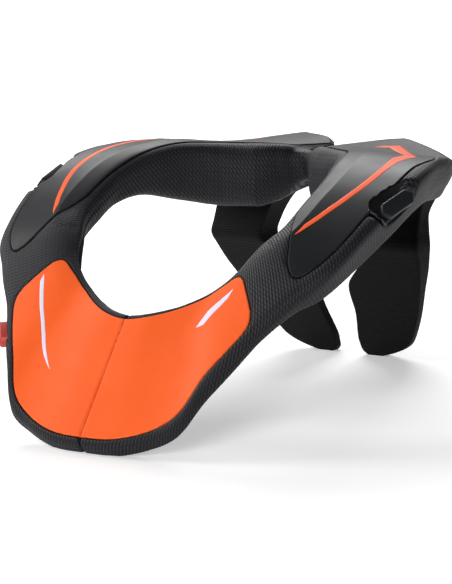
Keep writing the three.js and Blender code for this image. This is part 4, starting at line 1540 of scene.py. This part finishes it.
def wear_group():
    """Where an edge is rubbed: near the edge, and broken up by noise."""
    tree, work, given, made = new_group(
        "edge_wear", [("Vector", "Vector"), ("Distance", "Float"), ("Reach", "Float")], [("Mask", "Float")])
    near = work.math("SUBTRACT", 1.0, work.math("DIVIDE", given["Distance"], given["Reach"]), clamp=True)
    patches = work.spread(work.noise(given["Vector"], 400.0, 4.0), 0.42, 0.66)
    work.feed(made["Mask"], work.math("MULTIPLY", near, patches, clamp=True))
    return tree


WEAVE, GRAIN, WEAR = weave_group(), grain_group(), wear_group()


# %% Materials
def new_material(name, roughness, specular):
    """A material with its shader, and its tree to work on."""
    material = bpy.data.materials.new(name)
    material.use_nodes = True
    shader = material.node_tree.nodes["Principled BSDF"]
    shader.inputs["Roughness"].default_value = roughness
    shader.inputs["Specular IOR Level"].default_value = specular
    return material, Tree(material.node_tree), shader


def raised(work, shader, height, depth):
    """Bumps on the surface, depth in millimetres."""
    bump = work.add("ShaderNodeBump")
    bump.inputs["Distance"].default_value = depth * MM
    work.feed(bump.inputs["Height"], height)
    work.feed(shader.inputs["Normal"], bump.outputs["Normal"])


def woven(name, dark, light, pitch, column, slant, shift, depth, specular):
    """A woven fabric on the cloth's own map, with painted highlights on its rib tops."""
    material, work, shader = new_material(name, 0.6, specular)
    cloth_map = work.add("ShaderNodeUVMap", uv_map="Cloth")
    weave = work.group(WEAVE, Vector=cloth_map.outputs["UV"], Pitch=pitch * MM, Column=column * MM,
                       Slant=slant, Shift=shift)
    position = work.add("ShaderNodeTexCoord").outputs["Object"]
    grain = work.group(GRAIN, Vector=position)
    # Painted light: the colour runs from dark in the grooves to light on the rib tops, times a random tone.
    shade = work.math("MULTIPLY", weave.outputs["Shade"], work.spread(grain.outputs["Tone"], 0, 1, 0.8, 1.0))
    work.feed(shader.inputs["Base Color"], work.mix(shade, dark, light))
    work.feed(shader.inputs["Roughness"], work.spread(weave.outputs["Height"], 0, 1, 0.75, 0.5))
    raised(work, shader, weave.outputs["Height"], depth)
    return material


def moulded(name, base, worn, roughness, specular, grain_depth=0.012, reach=0.5, attribute="edge"):
    """A moulded part: fine grain, soft changes of tone, and rubbed edges."""
    material, work, shader = new_material(name, roughness, specular)
    position = work.add("ShaderNodeTexCoord").outputs["Object"]
    grain = work.group(GRAIN, Vector=position)
    darker = tuple(value * 0.95 for value in base)
    tone = work.mix(grain.outputs["Tone"], darker, base)
    if attribute:
        distance = work.add("ShaderNodeAttribute", attribute_name=attribute)
        wear = work.group(WEAR, Vector=position, Distance=distance.outputs["Fac"], Reach=reach * MM)
        tone = work.mix(wear.outputs["Mask"], tone, worn)
    work.feed(shader.inputs["Base Color"], tone)
    work.feed(shader.inputs["Roughness"],
              work.spread(grain.outputs["Tone"], 0, 1, roughness + 0.06, roughness - 0.04))
    raised(work, shader, grain.outputs["Height"], grain_depth)
    return material


# The second colour of each fabric is the painted highlight on its rib tops.
fabric = woven(
    "collar_fabric", (0.0008, 0.0008, 0.0012), (0.018, 0.018, 0.024),
    pitch=1.9, column=2.8, slant=0.1, shift=0.25, depth=0.17, specular=0.28)
leg_fabric = woven(
    "leg_fabric", (0.0006, 0.0006, 0.001), (0.0062, 0.0062, 0.008),
    pitch=1.4, column=1.4, slant=0.0, shift=0.0, depth=0.10, specular=0.1)
orange = moulded("orange_moulding", (0.97, 0.130, 0.022), (0.98, 0.24, 0.09), 0.55, 0.08)
rubber = moulded("grey_rubber", (0.0100, 0.0106, 0.0126), (0.025, 0.025, 0.027), 0.4, 0.1, 0.02)
scoop_rubber = moulded("scoop_rubber", (0.009, 0.0096, 0.0114), (0, 0, 0), 0.5, 0.3, 0.02, attribute=None)
flash_orange = moulded("flash_orange", (0.97, 0.120, 0.022), (0, 0, 0), 0.5, 0.1, attribute=None)
stripe_white = moulded("stripe_white", (0.80, 0.74, 0.88), (0, 0, 0), 0.5, 0.25, attribute=None)
black_plastic = moulded("black_plastic", (0.013, 0.0145, 0.0175), (0, 0, 0), 0.42, 0.2, attribute=None)
red_plastic = moulded("red_plastic", (0.50, 0.045, 0.03), (0, 0, 0), 0.42, 0.4, attribute=None)
print("materials:", len(bpy.data.materials))


# %% Dress the pieces
def dress(thing, material, body="brace"):
    """Gives a piece its material and slot, and its body if it isn't a CAD node."""
    thing.data.materials.clear()
    thing.data.materials.append(material)
    if "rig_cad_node" not in thing:
        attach(thing, body)
    return thing


dress(collar_cover, fabric)
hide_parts("foam_ring")
for side_name in ("right", "left"):
    dress(leg_covers[side_name], leg_fabric)
    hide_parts(f"rear_leg_{side_name}")
    dress(panels[f"side_{side_name}"], rubber)
    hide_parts(f"side_panel_{side_name}")
    dress(panels[f"front_{side_name}"], orange)
    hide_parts(f"front_panel_{side_name}")
    dress(hooks[side_name], black_plastic)
    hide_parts(f"strap_hook_{side_name}")
    dress(scoops[side_name], scoop_rubber)
    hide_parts(f"hook_seat_{side_name}")
for name, piece in prints.items():
    piece.data.materials.append(flash_orange if name.startswith("flash") else stripe_white)
    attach(piece, "brace")
dress(button, red_plastic, "button")
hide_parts("release_button")
dress(frame["nodes"]["closure_bar"], black_plastic)

# %% [markdown]
# ## Floor, light and camera
#
# A pale floor that glows a little, as a light table does, and broad soft lights, as in a small
# studio. The camera looks from the front right, a little above the collar, from well back, and
# leans by a few degrees as the photographer's did.

# %% Camera
CAMERA_AZIMUTH, CAMERA_ELEVATION, CAMERA_ROLL = 41.0, 12.531, -4.943
CAMERA_DISTANCE = 2200
FOCAL_PIXELS = 3876
IMAGE_HEIGHT = 584
SENSOR = 36
CAMERA_TARGET = to_frame([1.09, 85, -7.096])


def camera_axes():
    """Right, up and back of the camera."""
    azimuth, elevation, roll = (math.radians(a) for a in (CAMERA_AZIMUTH, CAMERA_ELEVATION, CAMERA_ROLL))
    back = np.array([math.sin(azimuth) * math.cos(elevation), -math.cos(azimuth) * math.cos(elevation),
                     math.sin(elevation)])
    level = np.array([math.cos(azimuth), math.sin(azimuth), 0])
    up = np.cross(back, level)
    right = math.cos(roll) * level + math.sin(roll) * up
    return right, np.cross(back, right), back


right, up, back = camera_axes()
camera_data = bpy.data.cameras.new("camera")
camera_data.sensor_width = SENSOR
camera_data.lens = FOCAL_PIXELS / IMAGE_HEIGHT * SENSOR
camera_data.clip_end = 20
camera = bpy.data.objects.new("camera", camera_data)
bpy.context.scene.collection.objects.link(camera)
place = CAMERA_TARGET + back * CAMERA_DISTANCE * MM
camera.matrix_world = Matrix([
    [right[0], up[0], back[0], place[0]],
    [right[1], up[1], back[1], place[1]],
    [right[2], up[2], back[2], place[2]],
    [0, 0, 0, 1]])
bpy.context.scene.camera = camera
print("camera: lens", round(camera_data.lens, 1), "mm, height", round(place[2], 2), "m")

# %% Floor and lights
LIGHT_TARGET = (0, 0, 0.06)
floor_mesh = bpy.data.meshes.new("floor")
reach = 30.0
floor_mesh.from_pydata([(-reach, -reach, 0), (reach, -reach, 0), (reach, reach, 0), (-reach, reach, 0)], [],
                       [(0, 1, 2, 3)])
floor = bpy.data.objects.new("floor", floor_mesh)
bpy.context.scene.collection.objects.link(floor)
pale, _, pale_shader = new_material("pale_floor", 0.9, 0.2)
pale_shader.inputs["Base Color"].default_value = (0.92, 0.92, 0.92, 1)
pale_shader.inputs["Emission Color"].default_value = (1, 1, 1, 1)
pale_shader.inputs["Emission Strength"].default_value = 0.3
floor_mesh.materials.append(pale)


def soft_light(name, at, size, power):
    """A broad lamp that looks at the middle of the brace."""
    light = bpy.data.lights.new(name, "AREA")
    light.shape = "RECTANGLE"
    light.size, light.size_y = size
    light.energy = power
    lamp = bpy.data.objects.new(name, light)
    bpy.context.scene.collection.objects.link(lamp)
    lamp.location = at
    way = Vector(LIGHT_TARGET) - Vector(at)
    lamp.rotation_mode = "QUATERNION"
    lamp.rotation_quaternion = way.to_track_quat("-Z", "Y")
    return lamp


soft_light("top_light", (-0.9, 1.2, 1.1), (1.5, 0.8), 30)
soft_light("left_light", (-1.5, -0.3, 0.9), (0.7, 0.9), 17)
soft_light("front_light", (0.6, -1.9, 0.9), (1.2, 0.8), 26)

world = bpy.data.worlds.new("studio")
bpy.context.scene.world = world
world.use_nodes = True
world.node_tree.nodes["Background"].inputs["Color"].default_value = (1, 1, 1, 1)
sky = Tree(world.node_tree)
seen = sky.add("ShaderNodeLightPath").outputs["Is Camera Ray"]
sky.feed(world.node_tree.nodes["Background"].inputs["Strength"], sky.spread(seen, 0, 1, 0.12, 1.0))
bpy.context.scene.view_settings.view_transform = "Standard"
